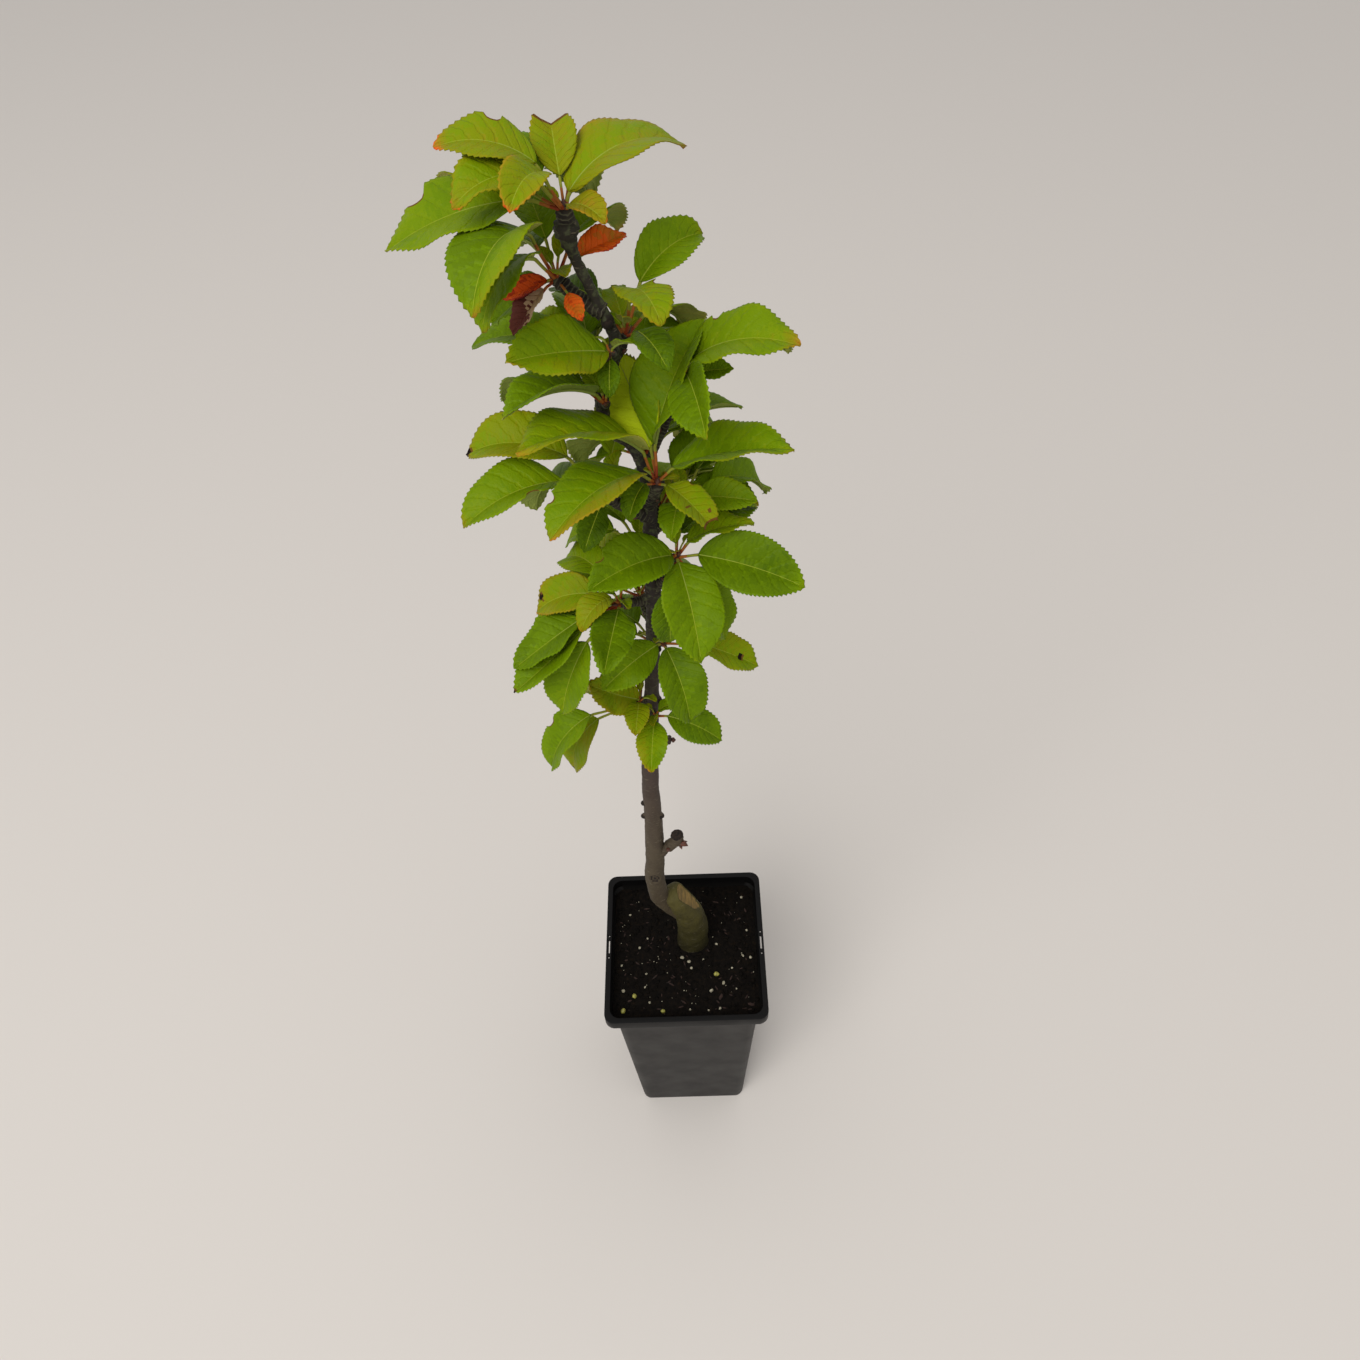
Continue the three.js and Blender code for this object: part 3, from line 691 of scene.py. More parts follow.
def grow_sprays():
    """Every rosette with its leaves in place: set ones first, then spare and young ones"""
    guard = wood_to_avoid()
    sprays = []
    for row in ROSETTES:
        boughs = [surface(*plain_limb(bough_stations(row, -SPUR_FOOT - GAP)))] if row["bough"] else []
        spur = surface(*plain_limb(spur_stations(row), 8, 1))
        sprays.append({**row, "boughs": boughs, "spur": spur, "placed": []})

    chance = source_chance()
    painter = random.Random(SEED)

    def between(low, high):
        return low + (high - low) * next(chance)

    for spray in sprays:
        for shape, look, marks in spray["leaves"]:
            placed = place_leaf(sprays, guard, spray, shape)
            if placed:
                placed.update(look=look, marks=marks)
    for spray in sprays:
        dealt = []
        for n in range(spray["spare"]):
            swing = ((n * GOLDEN_ANGLE) % 360) / 360 - 0.5
            bearing = spray["facing"] + swing * SPARE_SPREAD + between(-SPARE_WOBBLE, SPARE_WOBBLE)
            dealt.append([bearing, *[between(low, high) for low, high in SPARE_LEAF]])
        for shape in dealt:
            placed = place_leaf(sprays, guard, spray, shape, SPARE_SHRINK)
            if placed:
                look = painter.choice(SPARE_LOOKS)
                placed.update(look=look, marks={"tip": painter.choice(SPARE_TIPS)})
    for spray in sprays:
        for n in range(YOUNG_LEAVES):
            bearing = spray["facing"] + n * GOLDEN_ANGLE + painter.uniform(-YOUNG_WOBBLE, YOUNG_WOBBLE)
            shape = [bearing, *[painter.uniform(low, high) for low, high in YOUNG_LEAF]]
            placed = place_leaf(sprays, guard, spray, shape, YOUNG_SHRINK)
            if placed:
                placed.update(look=painter.choice(YOUNG_LOOKS), marks={})
    return sprays


# Leaf blades and stalks in detail

RIPENESS = [
    (0, "#3f5704"), (0.15, "#577104"), (0.3, "#698504"), (0.42, "#768c06"), (0.52, "#82880a"),
    (0.62, "#8d8510"), (0.7, "#a08218"), (0.78, "#c07420"), (0.87, "#ec601c"), (0.95, "#b03c1c"),
    (1, "#6d1c17"),
]
UNDERSIDES = [
    (0, "#7d8c46"), (0.3, "#95a24c"), (0.52, "#a9a64c"), (0.65, "#b5a650"), (0.8, "#bd8c48"),
    (0.9, "#b8663a"), (1, "#8a4632"),
]
STEPS_OF_RIPENESS = 22
# One plain colour each for what doesn't ripen: name, upper side, underside
SPECIAL_SKINS = [
    # The fresh leaf's lime green is painted brighter as painted light, for the light that shines through it
    # in the shade of the leaves above
    ("fresh_leaf_painted_glow", "#b2c414", "#b2bc58"), ("pale_midrib", "#939f2e", "#a9b265"),
    ("dried_leaf", "#b09272", "#b8a184"), ("withered_leaf", "#5e322a", "#63443a"),
    ("browned_leaf", "#6b4a1c", "#6e5136"), ("dead_spot", "#1d140d", "#2a201a"),
]
UPPER_SLOTS = STEPS_OF_RIPENESS + len(SPECIAL_SKINS)
FRESH_GLOW_SLOT, RIB_SLOT, DRIED_SLOT, WITHERED_SLOT, BROWN_SLOT, BLACK_SLOT = range(
    STEPS_OF_RIPENESS, UPPER_SLOTS)
ACROSS = np.array(
    [-1, -0.94, -0.81, -0.63, -0.43, -0.22, -0.05, 0.05, 0.22, 0.43, 0.63, 0.81, 0.94, 1])
MIDDLE = len(ACROSS) // 2 - 1
ROW_STEP = 1.05
# Side veins: how many pairs, their slant as a share of the blade's length, their height in
# millimetres and how much riper they look. The cells of the net between them are NET_STEP wide
VEIN_PAIRS = 8
VEIN_SLANT = 0.2
VEIN_RELIEF = 0.2
VEIN_RIPENESS = 0.14
NET_STEP = 1.6
# Half the midrib's width in millimetres: at the foot, and what it loses to the tip
RIB = (0.25, 0.14)
STALK_SIDES = 6
TOOTH = 0.7
TOOTH_LEAN = 1.1
NOTCH = 0.3
FOLDS = (18, 30)
PUFF = 0.017
# A wavy margin: from and to what height in millimetres, and how many waves on a blade
WAVES = (0.6, 1.5)
RIPPLES = (1.5, 2.6)
TWIST = 9
BEND = 0.03
# A blade of this length and more has its full teeth and waves
FULL_SIZE = 40
# Shares of a blade's length: over which it turns on its stalk, where its tip starts to colour,
# over which that colour comes in, and by which its start moves from leaf to leaf
TURN_OVER = 0.3
TIP_FROM = 0.8
TIP_FADE = 0.2
TIP_SHIFT = 0.08
RIM_RIPENESS = 0.04
DRIFT = 0.025


def stops_at(stops, share):
    """The #rrggbb between two stops of a list"""
    places = [place for place, _ in stops]
    parts = [[int(code[i:i + 2], 16) for i in (1, 3, 5)] for _, code in stops]
    mixed = [np.interp(share, places, [part[c] for part in parts]) for c in range(3)]
    return "#" + "".join(f"{int(round(value)):02x}" for value in mixed)


def kept_length(shape, marks):
    """The share of a blade that a bite at its tip leaves, with a blunt end"""
    return min([1 - radius / shape[4] for _, edge, radius in marks.get("bites", ()) if edge == 0] + [1])


def shortened(shape, cut):
    """A leaf's shape with its blade cut to a share of its length"""
    bearing, rise, droop, stalk, blade, roll = shape
    return [bearing, rise, droop * cut, stalk, blade * cut, roll]


def bite_in(u, v, half, blade, bites):
    """Draws rows of a blade in to the arcs of bites at its margin, and says which rows are whole"""
    whole = np.ones((len(u), 2), bool)
    for place, edge, radius in bites:
        if edge:
            off = (u - place) * blade
            depth = np.sqrt(np.maximum(radius ** 2 - off ** 2, 0))
            left = np.clip((float(np.interp(place, u, half[:, 0])) - depth) / half[:, 0], 0.15, 1)
            bitten = depth > 0
            v = np.where((np.sign(v) == edge) & bitten[:, None], v * left[:, None], v)
            whole[:, int(edge > 0)] &= ~bitten
    return v, whole


def curl(u, v, half, phase, blade, marks, hand):
    """How far a blade's points lie across and above its middle. Its halves fold up, sink again
    towards the margin and puff up between the side veins, and the blade waves, twists and bends"""
    outward = np.abs(v)
    fold = math.radians(marks.get("fold", hand.uniform(*FOLDS)))
    across = v * half * math.cos(fold)
    above = half * math.sin(fold) * (1.2 * outward - 0.25 * outward ** 2.2)
    puff = np.abs(np.sin(math.pi * phase)) ** 0.6 * smooth(outward / 0.3) * (1 - outward ** 4)
    above = above + puff * PUFF * blade ** 0.9
    wave = hand.uniform(*WAVES) * min(1, blade / FULL_SIZE)
    for sign in (-1, 1):
        turn = hand.uniform(0, 2 * math.pi)
        ripple = np.sin(2 * math.pi * u * hand.uniform(*RIPPLES) + turn)[:, None]
        above = above + np.where(np.sign(v) == sign, ripple * wave * outward ** 2.5, 0)
    twist = np.radians(hand.uniform(-TWIST, TWIST)) * (u[:, None] - TURN_OVER)
    twist = twist + math.radians(marks.get("turn", 0)) * smooth(u[:, None] / TURN_OVER)
    across, above = (across * np.cos(twist) - above * np.sin(twist),
                     across * np.sin(twist) + above * np.cos(twist))
    return across + hand.uniform(-BEND, BEND) * blade * u[:, None] ** 2, above


def blade_grid(at, shape, marks, hand):
    """Points of a fine blade, with its rows' and columns' places on it and what is near them"""
    blade = shape[4]
    cut = kept_length(shape, marks)
    rows = max(12, int(round(blade * cut / ROW_STEP)))
    frames = leaf_frames(at, shortened(shape, cut), rows)
    points, tangents, sides, normals = [part[1:, None] for part in frames]
    u = np.arange(rows + 1) / rows * cut
    wide = outline(u) * BLADE_WIDTH * blade * (1 - 0.3 * u ** 10)
    half = np.maximum(wide, TIP_WIDTH * (1 - 0.7 * smooth((u - 0.9) / 0.1)))[:, None]
    v = ACROSS[None] * np.ones((rows + 1, 1))
    rib = np.minimum((RIB[0] - RIB[1] * u)[:, None] / half, 0.1)
    v[:, MIDDLE:MIDDLE + 2] = rib * np.array([-1, 1])
    v, whole = bite_in(u, v, half, blade, marks.get("bites", ()))
    phase = (u[:, None] - VEIN_SLANT * np.abs(v)) * VEIN_PAIRS
    across, above = curl(u, v, half, phase, blade, marks, hand)

    # Every second point of the margin is a tooth that leans to the tip
    tooth = TOOTH * min(1, blade / FULL_SIZE) * smooth(u / 0.12) * smooth((1 - u) / 0.06)
    tooth = tooth * (np.arange(rows + 1) % 2)
    lean = np.zeros_like(across)
    for column, sign in ((0, -1), (-1, 1)):
        across[:, column] += sign * tooth * whole[:, int(sign > 0)]
        lean[:, column] = tooth * TOOTH_LEAN * whole[:, int(sign > 0)]
    # A bite at the tip leaves a shallow notch
    if cut < 1:
        lean = lean - (1 - cut) * blade * NOTCH * (1 - v ** 2) * smooth((u[:, None] / cut - 0.75) * 4)

    flat_x, flat_y = v * half, u[:, None] * blade + lean
    spotted = np.full(flat_x.shape, 99.0)
    for place, edge, radius in marks.get("spots", ()):
        middle_x = edge * float(np.interp(place, u, half[:, 0]))
        spotted = np.minimum(spotted, np.hypot(flat_x - middle_x, flat_y - place * blade) - radius)
    grid = points + sides * across[..., None] + normals * above[..., None] + tangents * lean[..., None]
    return grid, u, v, phase, whole, spotted


def middle_of(values):
    """The value of each face of a grid, from its corners"""
    return (values[:-1, :-1] + values[1:, :-1] + values[:-1, 1:] + values[1:, 1:]) / 4


def add_blade(shapes, at, shape, look, marks, hand):
    """A blade whose faces each take a plain colour, by their place on it and by chance"""
    grid, u, v, phase, whole, spotted = blade_grid(at, shape, marks, hand)
    rows, columns = grid.shape[:2]
    base, tip, edge = LOOKS[look]
    tip, edge, side = marks.get("tip", tip), marks.get("edge", edge), marks.get("side", 0)
    far, wide = middle_of(np.repeat(u[:, None], columns, 1)), middle_of(v)
    ripe = base + tip * smooth((far - TIP_FROM - TIP_SHIFT * hand.random()) / TIP_FADE)
    ripe = ripe + edge * np.abs(wide) ** 8 * (0.4 + 0.6 * far)
    ripe = ripe + abs(side) * smooth(np.clip(wide * np.sign(side), 0, 1) * 1.6)
    for _ in range(2):
        drift = 2 * math.pi * (far * hand.uniform(0.6, 2) + wide * hand.uniform(-0.8, 0.8))
        ripe = ripe + DRIFT * np.sin(drift + hand.uniform(0, 6))
    vein = np.abs(np.cos(math.pi * middle_of(phase))) ** 8
    # Side veins show less on a ripe leaf
    veined = VEIN_RIPENESS * (1 - base) ** 1.5
    ripe = ripe + veined * vein * (1 - np.abs(wide)) + hand.uniform(-0.04, 0.04)
    ripe[:, [0, -1]] += RIM_RIPENESS
    grain = np.array([hand.random() for _ in range(ripe.size)]).reshape(ripe.shape)
    slots = np.clip((ripe * (STEPS_OF_RIPENESS - 1) + grain - 0.5).round(), 0, STEPS_OF_RIPENESS - 1)
    # Painted light: the fresh leaf takes one lime green, brightened for the light that shines through it
    if look == "fresh":
        slots[:, 1:-1] = FRESH_GLOW_SLOT
    if look not in ("orange", "red"):
        slots[:-3, MIDDLE] = RIB_SLOT
    if look == "withered":
        slots[:] = np.where(far + 0.3 * (grain - 0.5) + 0.25 * wide < 0.42, DRIED_SLOT, WITHERED_SLOT)
    # Bitten margins and blunt ends dry to a brown line
    for column, kept in ((0, whole[:, 0]), (-1, whole[:, 1])):
        slots[~kept[:-1] & ~kept[1:], column] = BROWN_SLOT
    if u[-1] < 1:
        slots[-1] = BROWN_SLOT
    slots[middle_of(spotted) < 0.6] = BROWN_SLOT
    slots[middle_of(spotted) < 0] = BLACK_SLOT
    first = np.arange(rows - 1)[:, None] * columns + np.arange(columns - 1)
    faces = np.stack([first, first + 1, first + columns + 1, first + columns], -1).reshape(-1, 4)
    shapes.add(grid.reshape(-1, 3), [faces], slots.reshape(-1).astype(int), phase.reshape(-1))


def add_stalk(shapes, at, shape, look, hand):
    """A stalk that runs on under the blade as its midrib"""
    stalk, blade = shape[3:5]
    steps = max(10, int(round(blade / 3.5)))
    points, tangents, sides, normals = leaf_frames(at, shape, steps)
    start, foot = points[0], points[1]
    stem_rings = max(4, int(round(stalk / 2)))
    share = np.linspace(0, 1, stem_rings + 1)[:-1]
    sag = normals[0] * (np.sin(share * math.pi) * -0.02 * stalk)[:, None]
    along_stalk = start + (foot - start) * share[:, None] + sag
    # Radii: swollen where the stalk leaves the spur, and a little under the blade. The midrib thins
    # to its tip, and small leaves have slim stalks
    slim = 0.72 + 0.5 * np.exp(-share * stalk / 2.2) + 0.12 * smooth((share - 0.7) / 0.3)
    under = np.linspace(0, 1, steps + 1)[:-1]
    rib = 0.66 * (1 - under) ** 0.8 + 0.16
    slim = np.concatenate([slim, rib]) * min(1, 0.55 + blade / 90)
    middles = np.concatenate([along_stalk, points[1:-1] - normals[1:-1] * (0.2 + 0.45 * rib)[:, None]])
    side_rows = np.concatenate([np.repeat(sides[:1], stem_rings, 0), sides[1:-1]])
    normal_rows = np.concatenate([np.repeat(normals[:1], stem_rings, 0), normals[1:-1]])
    made, faces = tube(skin(middles, fan(normal_rows, side_rows, STALK_SIDES), slim[:, None]))
    rings = len(slim)
    # The blush is strongest at the foot. The midrib has its own slot, but not on a withered leaf
    blush = {"orange": 0.9, "red": 1.0, "withered": 1.2}.get(look, hand.uniform(0.45, 1.05))
    tint = np.clip(blush * 2.4 - np.arange(rings - 1) / stem_rings * 2.6, 0, 2.49).round()
    tint[stem_rings:] = 3 if look != "withered" else 2
    slots = np.repeat([*tint, tint[0], tint[-1]], STALK_SIDES)
    shapes.add(made, faces, slots.astype(int))


def add_bud(shapes, place, direction, length, width, slot=0):
    """A pointed bud of overlapping scales"""
    rings = 7
    share = np.linspace(0, 1, rings)
    fat = np.sin(math.pi * (0.16 + 0.84 * share) ** 0.8) ** 0.9 * width / 2
    fat = np.maximum(fat * (1 + 0.06 * (np.arange(rings) % 2)), 0.08)
    direction = unit(np.asarray(direction, float))
    points = np.asarray(place, float) + direction * (share * length)[:, None]
    around = spokes(np.repeat(direction[None], rings, 0), 8)
    shapes.add(*tube(skin(points, around, fat[:, None])), slot)


# Materials. Each is named for the real material and how its surface came about.

def moulded_polypropylene():
    """Black polypropylene from a textured mould: dark grey, a soft wide sheen and fine grain"""
    material, tree, shader = new_material(
        "moulded_black_polypropylene", {"IOR": 1.49, "Specular IOR Level": 0.2})
    # The lip is painted darker as painted shade, where its top takes less light, and the wall below it
    # carries a thin even film of dust
    paint(
        tree, shader, "#11100e",
        (speckle(tree, 60, 1, seen=(0.35, 0.65)), "#161412"),
        # Painted shade: the lip and flange above the wall's top are near black
        (by_height(tree, 0.214, 0.222), "#070606"),
        (speckle(tree, 7, 4, (1, 1, 0.2), seen=(0.62, 0.85), values=(0, 0.25)), "#211d19"),
    )
    rough = speckle(tree, 25, 2, seen=(0.3, 0.7), values=(0.46, 0.56))
    tree.links.new(rough, shader.inputs["Roughness"])
    relief(tree, shader, (speckle(tree, 0.7, 2), 0.03, 0.6))
    return material


def damp_peat_mix():
    """Damp peat with coir: almost black, matt, with brown fibres where it is drier"""
    material, tree, shader = new_material(
        "damp_peat_potting_mix", {"Roughness": 0.95, "IOR": 1.4, "Specular IOR Level": 0.15})
    stops = [(0, "#070504"), (0.5, "#100c08"), (0.8, "#1c130b"), (1, "#342415")]
    tone = speckle(tree, 3.5, 5, roughness=0.7, seen=(0.35, 0.78))
    ramp = add_node(tree, "ShaderNodeValToRGB", {"stops": stops}, {"Fac": tone})
    paint(tree, shader, ramp.outputs["Color"])
    relief(tree, shader, (speckle(tree, 1.2, 4, roughness=0.7), 0.6))
    return material


def mottled(name, rough, ior, dark, light, lumps_of, seen, grain_of, depth):
    """A material in two mottled tones; lumps_of and grain_of say how its noise looks"""
    material, tree, shader = new_material(name, {"Roughness": rough, "IOR": ior})
    paint(tree, shader, dark, (speckle(tree, *lumps_of, seen=seen), light))
    relief(tree, shader, (speckle(tree, *grain_of), depth))
    return material


def expanded_perlite():
    """Expanded perlite: off-white glassy foam, chalky, with dark pores"""
    return mottled(
        "expanded_perlite", 0.85, 1.5, "#77705c", "#b5ae97", (1.1, 3), (0.35, 0.65), (0.6, 3), 0.25)


def coated_feed():
    """Slow-release feed: small resin-coated beads, yellow-green, with a waxy sheen"""
    return mottled(
        "resin_coated_feed", 0.45, 1.5, "#6f6a2c", "#a7a34c", (1.5, 2), (0.35, 0.65), (0.8, 2), 0.08)


def barky_chip():
    """Composted bark: short reddish-brown chips with a broken grain"""
    return mottled(
        "composted_bark_chip", 0.9, 1.45, "#170f0a", "#38221a",
        (1.8, 4, (1, 1, 2)), (0.3, 0.7), (0.7, 3), 0.3)


def sawn_heartwood():
    """A sawn face that has weathered: ochre wood with dull grain and dark cracks"""
    along = (1, 0.3, 1)
    return mottled(
        "weathered_sawn_wood", 0.85, 1.45, "#4f4220", "#8a6f38",
        (2.5, 4, along), (0.3, 0.7), (1, 3, along), 0.4)


def dead_wood():
    """Died-back wood at an old cut: near black, dry and fissured"""
    return mottled("died_back_wood", 0.9, 1.4, "#110d0b", "#33271e", (1.2, 4), (0.35, 0.7), (0.8, 4), 0.5)


def bud_scales():
    """Bud scales: chestnut brown and slightly glossy, darker where they overlap"""
    return mottled(
        "chestnut_bud_scale", 0.5, 1.45, "#33201a", "#6a3a28", (1.3, 3), (0.35, 0.65), (0.7, 3), 0.2)


def smooth_bark(name, stops, spots, pale_share, depth):
    """Young bark: smooth skin whose colour changes up the stem, with corky breathing pores that
    lie across it as pale dashes, and a satin gloss"""
    material, tree, shader = new_material(
        name, {"Roughness": 0.68, "IOR": 1.45, "Specular IOR Level": 0.25})
    climb = by_height(tree, 0.218, 0.84, 0.012)
    ramp = add_node(tree, "ShaderNodeValToRGB", {"stops": stops}, {"Fac": climb})
    # Grey-green algae and lichen on the rougher wood above
    above = add_node(tree, "ShaderNodeMapRange", span(0.5, 0.72, 0, 0.8), {"Value": climb})
    grown = speckle(tree, 3.2, 4, seen=(0.5, 0.62))
    film = add_node(
        tree, "ShaderNodeMath", {"operation": "MULTIPLY"}, {0: above.outputs["Result"], 1: grown})
    dashes = speckle(tree, 2.2, 2, (0.45, 0.45, 2.2), seen=(0.63, 0.7), values=(0, pale_share))
    paint(
        tree, shader, ramp.outputs["Color"],
        (speckle(tree, 7, 4, (1, 1, 0.45), seen=(0.4, 0.72), values=(0, 0.55)), spots),
        (film.outputs[0], "#4b4f36"),
        (dashes, "#857b66"),
    )
    relief(tree, shader, (speckle(tree, 1.6, 4, (1, 1, 0.5)), depth), (dashes, depth * 1.5))
    return material


def stem_bark():
    """Bark of the stem: olive brown at its foot, then grey, and nearly black in the crown"""
    return smooth_bark("cherry_stem_bark", [
        (0.0, "#403a26"), (0.12, "#453c2b"), (0.2, "#4b4233"), (0.3, "#4e4437"), (0.37, "#473b34"),
        (0.46, "#433734"), (0.56, "#38302d"), (0.66, "#2d2725"), (0.8, "#282421"), (1.0, "#2c2a22"),
    ], "#3a3028", 0.45, 0.35)


def stock_bark():
    """Bark of the old stock: dark where it meets the soil and mossy olive above"""
    return smooth_bark("old_stock_bark", [
        (0.0, "#28240f"), (0.03, "#353114"), (0.08, "#413c1a"), (0.13, "#4c4620"), (1.0, "#4c4620"),
    ], "#2a2612", 0.3, 0.6)


def ringed_bark():
    """Bark of fruiting spurs: dark purplish-brown skin with pale rings that old bud scales left"""
    material, tree, shader = new_material(
        "ringed_spur_bark", {"Roughness": 0.75, "IOR": 1.45, "Specular IOR Level": 0.25})
    paint(
        tree, shader, "#1c1816",
        (speckle(tree, 5, 4, seen=(0.35, 0.7)), "#3d362d"),
        (speckle(tree, 2.6, 4, seen=(0.52, 0.64), values=(0, 0.7)), "#4f523a"),
        # One scar ring to about every 1.9 mm of spur
        (waves(tree, "along_mm", 0.5, 3.3, "SINE", (0.55, 1), (0, 0.55)), "#66644f"),
    )
    relief(tree, shader, (speckle(tree, 1.2, 4), 0.3))
    return material


def leaf_skin(name, code, rough, depth, veins=0.0):
    """Leaf skin: one plain base colour for its share of the leaf, a waxy half gloss above and a
    dull felt below, and the net of small veins as relief. The side veins lie veins millimetres
    above the skin, or in it where that is negative"""
    material, tree, shader = new_material(name, {
        "Base Color": linear(code), "Roughness": rough, "IOR": 1.42, "Specular IOR Level": 0.08,
    })
    cells = add_node(
        tree, "ShaderNodeTexVoronoi", {"Scale": 1 / (NET_STEP * MM), "feature": "DISTANCE_TO_EDGE"},
        {"Vector": add_node(tree, "ShaderNodeTexCoord").outputs["Object"]},
    )
    net = add_node(tree, "ShaderNodeMapRange", span(0, 0.25), {"Value": cells.outputs["Distance"]})
    layers = [(net.outputs["Result"], depth, 0.5)]
    if veins:
        height = (float(veins < 0), float(veins > 0))
        ribs = waves(tree, "side_veins", 0.12, 2 * math.pi, "COSINE", (0.5, 1), height)
        layers.append((ribs, abs(veins)))
    relief(tree, shader, *layers)
    return material


def leaf_skins():
    """All the plain leaf colours: the upper ones by ripeness, then the ones below them"""
    shares = list(enumerate(np.linspace(0, 1, STEPS_OF_RIPENESS)))
    return [
        *[leaf_skin(f"leaf_skin_{n:02d}", stops_at(RIPENESS, share), 0.42, 0.12, -VEIN_RELIEF)
          for n, share in shares],
        *[leaf_skin(name, upper, 0.5, 0.1, -VEIN_RELIEF) for name, upper, _ in SPECIAL_SKINS],
        *[leaf_skin(f"leaf_felt_{n:02d}", stops_at(UNDERSIDES, share), 0.6, 0.15, VEIN_RELIEF)
          for n, share in shares],
        *[leaf_skin(f"{name}_under", lower, 0.6, 0.15, VEIN_RELIEF) for name, _, lower in SPECIAL_SKINS],
    ]


def stalk_skins():
    """Leaf stalks: green, and blushed orange to red on the older ones"""
    codes = {"green": "#8a8f33", "blush": "#a0602c", "red": "#8a3d22", "rib": "#93a04a"}
    return [leaf_skin(f"stalk_skin_{name}", code, 0.45, 0.05) for name, code in codes.items()]


def matt_floor():
    """A pale painted floor: warm grey-white, quite matt, with the faintest unevenness"""
    colour = (*bpy.context.scene.tree_stage.floor, 1)
    material, tree, shader = new_material("matt_pale_floor", {"Base Color": colour, "Roughness": 0.75})
    relief(tree, shader, (speckle(tree, 40, 3), 0.4, 0.2))
    return material


# What a user would change

def length(name, description, default, **more):
    """A setting in metres"""
    return FloatProperty(name=name, description=description, unit="LENGTH", default=default, **more)


class PotSettings(bpy.types.PropertyGroup):
    height: length("Height", "From the floor to the rim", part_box("pot")[1].z, min=0.05)
    lip: length("Lip width", "Across the rim, outside", 2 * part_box("pot")[1].x, min=0.05)
    foot: length("Foot width", "Across the underside", 0.096)
    body: length("Body width", "Across the wall under the rim", 0.117)
    drop: length("Lip depth", "How far the lip hangs down", 0.01)
    skirt: length("Lip wall", "Thickness of the lip's hanging wall", 0.0012)
    mouth: length("Mouth", "Across the opening, inside the lip", 0.1216)
    collar: length("Collar", "Across the widened wall under the lip", 0.124)
    shoulder: length("Shoulder", "Height where the wall starts to widen", 0.211)
    wall: length("Wall", "Thickness of the plastic", 0.002)
    corner: length("Corner radius", "Of the square's corners", 0.008)


class SoilSettings(bpy.types.PropertyGroup):
    crumbs: IntProperty(
        name="Crumbs", description="Loose crumbs on the surface", default=900, min=0, max=2000)
    unevenness: length("Unevenness", "Height of the surface's lumps", 0.0016)


class WoodSettings(bpy.types.PropertyGroup):
    relief: FloatProperty(
        name="Relief", description="Lumps of the bark, as a share of the limb's radius",
        subtype="FACTOR", default=0.1, min=0, max=0.3)
    ring_gap: length("Ring gap", "Between two scar rings of a spur", 0.0019)


class LeafSettings(bpy.types.PropertyGroup):
    thickness: length("Thickness", "Of a leaf's blade", 0.0003)


class StageSettings(bpy.types.PropertyGroup):
    floor: FloatVectorProperty(
        name="Floor", description="Colour of the floor", subtype="COLOR", size=3,
        default=linear("#d6d0ca")[:3], min=0, max=1)
    key: FloatProperty(
        name="Key light", description="Power of the large soft light", subtype="POWER", default=168)
    sky: FloatProperty(
        name="Sky", description="Strength of the even light from all round", default=0.62, min=0)


# Operators, one for each piece or group of like pieces

def wall_at(pot, z):
    """Half the width of the tapering wall outside, at a height"""
    return (pot.foot + (pot.body - pot.foot) * z / pot.height) / 2


def rim_profile(pot):
    """Half widths and heights that the pot's square is drawn through, from its foot"""
    lip, under, hem = pot.lip / 2, pot.height - pot.wall, pot.height - pot.drop
    return [
        (wall_at(pot, pot.shoulder), pot.shoulder), (pot.collar / 2, hem), (pot.collar / 2, under),
        (lip - pot.skirt, under), (lip - pot.skirt, hem), (lip, hem), (lip, pot.height),
        (pot.mouth / 2, pot.height), (pot.mouth / 2, hem),
        (wall_at(pot, pot.shoulder) - pot.wall, pot.shoulder), (wall_at(pot, pot.wall) - pot.wall, pot.wall),
    ]


def draw_square(half, z, rise):
    """Extrudes the selected face up or down to z and brings its straight sides to half a width"""
    bpy.ops.mesh.extrude_region_move(TRANSFORM_OT_translate={"value": (0, 0, rise)})
    form = bmesh.from_edit_mesh(bpy.context.object.data)
    caps = [face for face in form.faces if face.select and abs(face.calc_center_median().z - z) < 1e-6]
    bpy.ops.mesh.select_all(action="DESELECT")
    for face in caps:
        face.select_set(True)
    picked = [vertex for vertex in form.verts if vertex.select]
    move = half - max(vertex.co.x for vertex in picked)
    for vertex in picked:
        vertex.co.x += move * math.copysign(1, vertex.co.x)
        vertex.co.y += move * math.copysign(1, vertex.co.y)
    bmesh.update_edit_mesh(bpy.context.object.data)


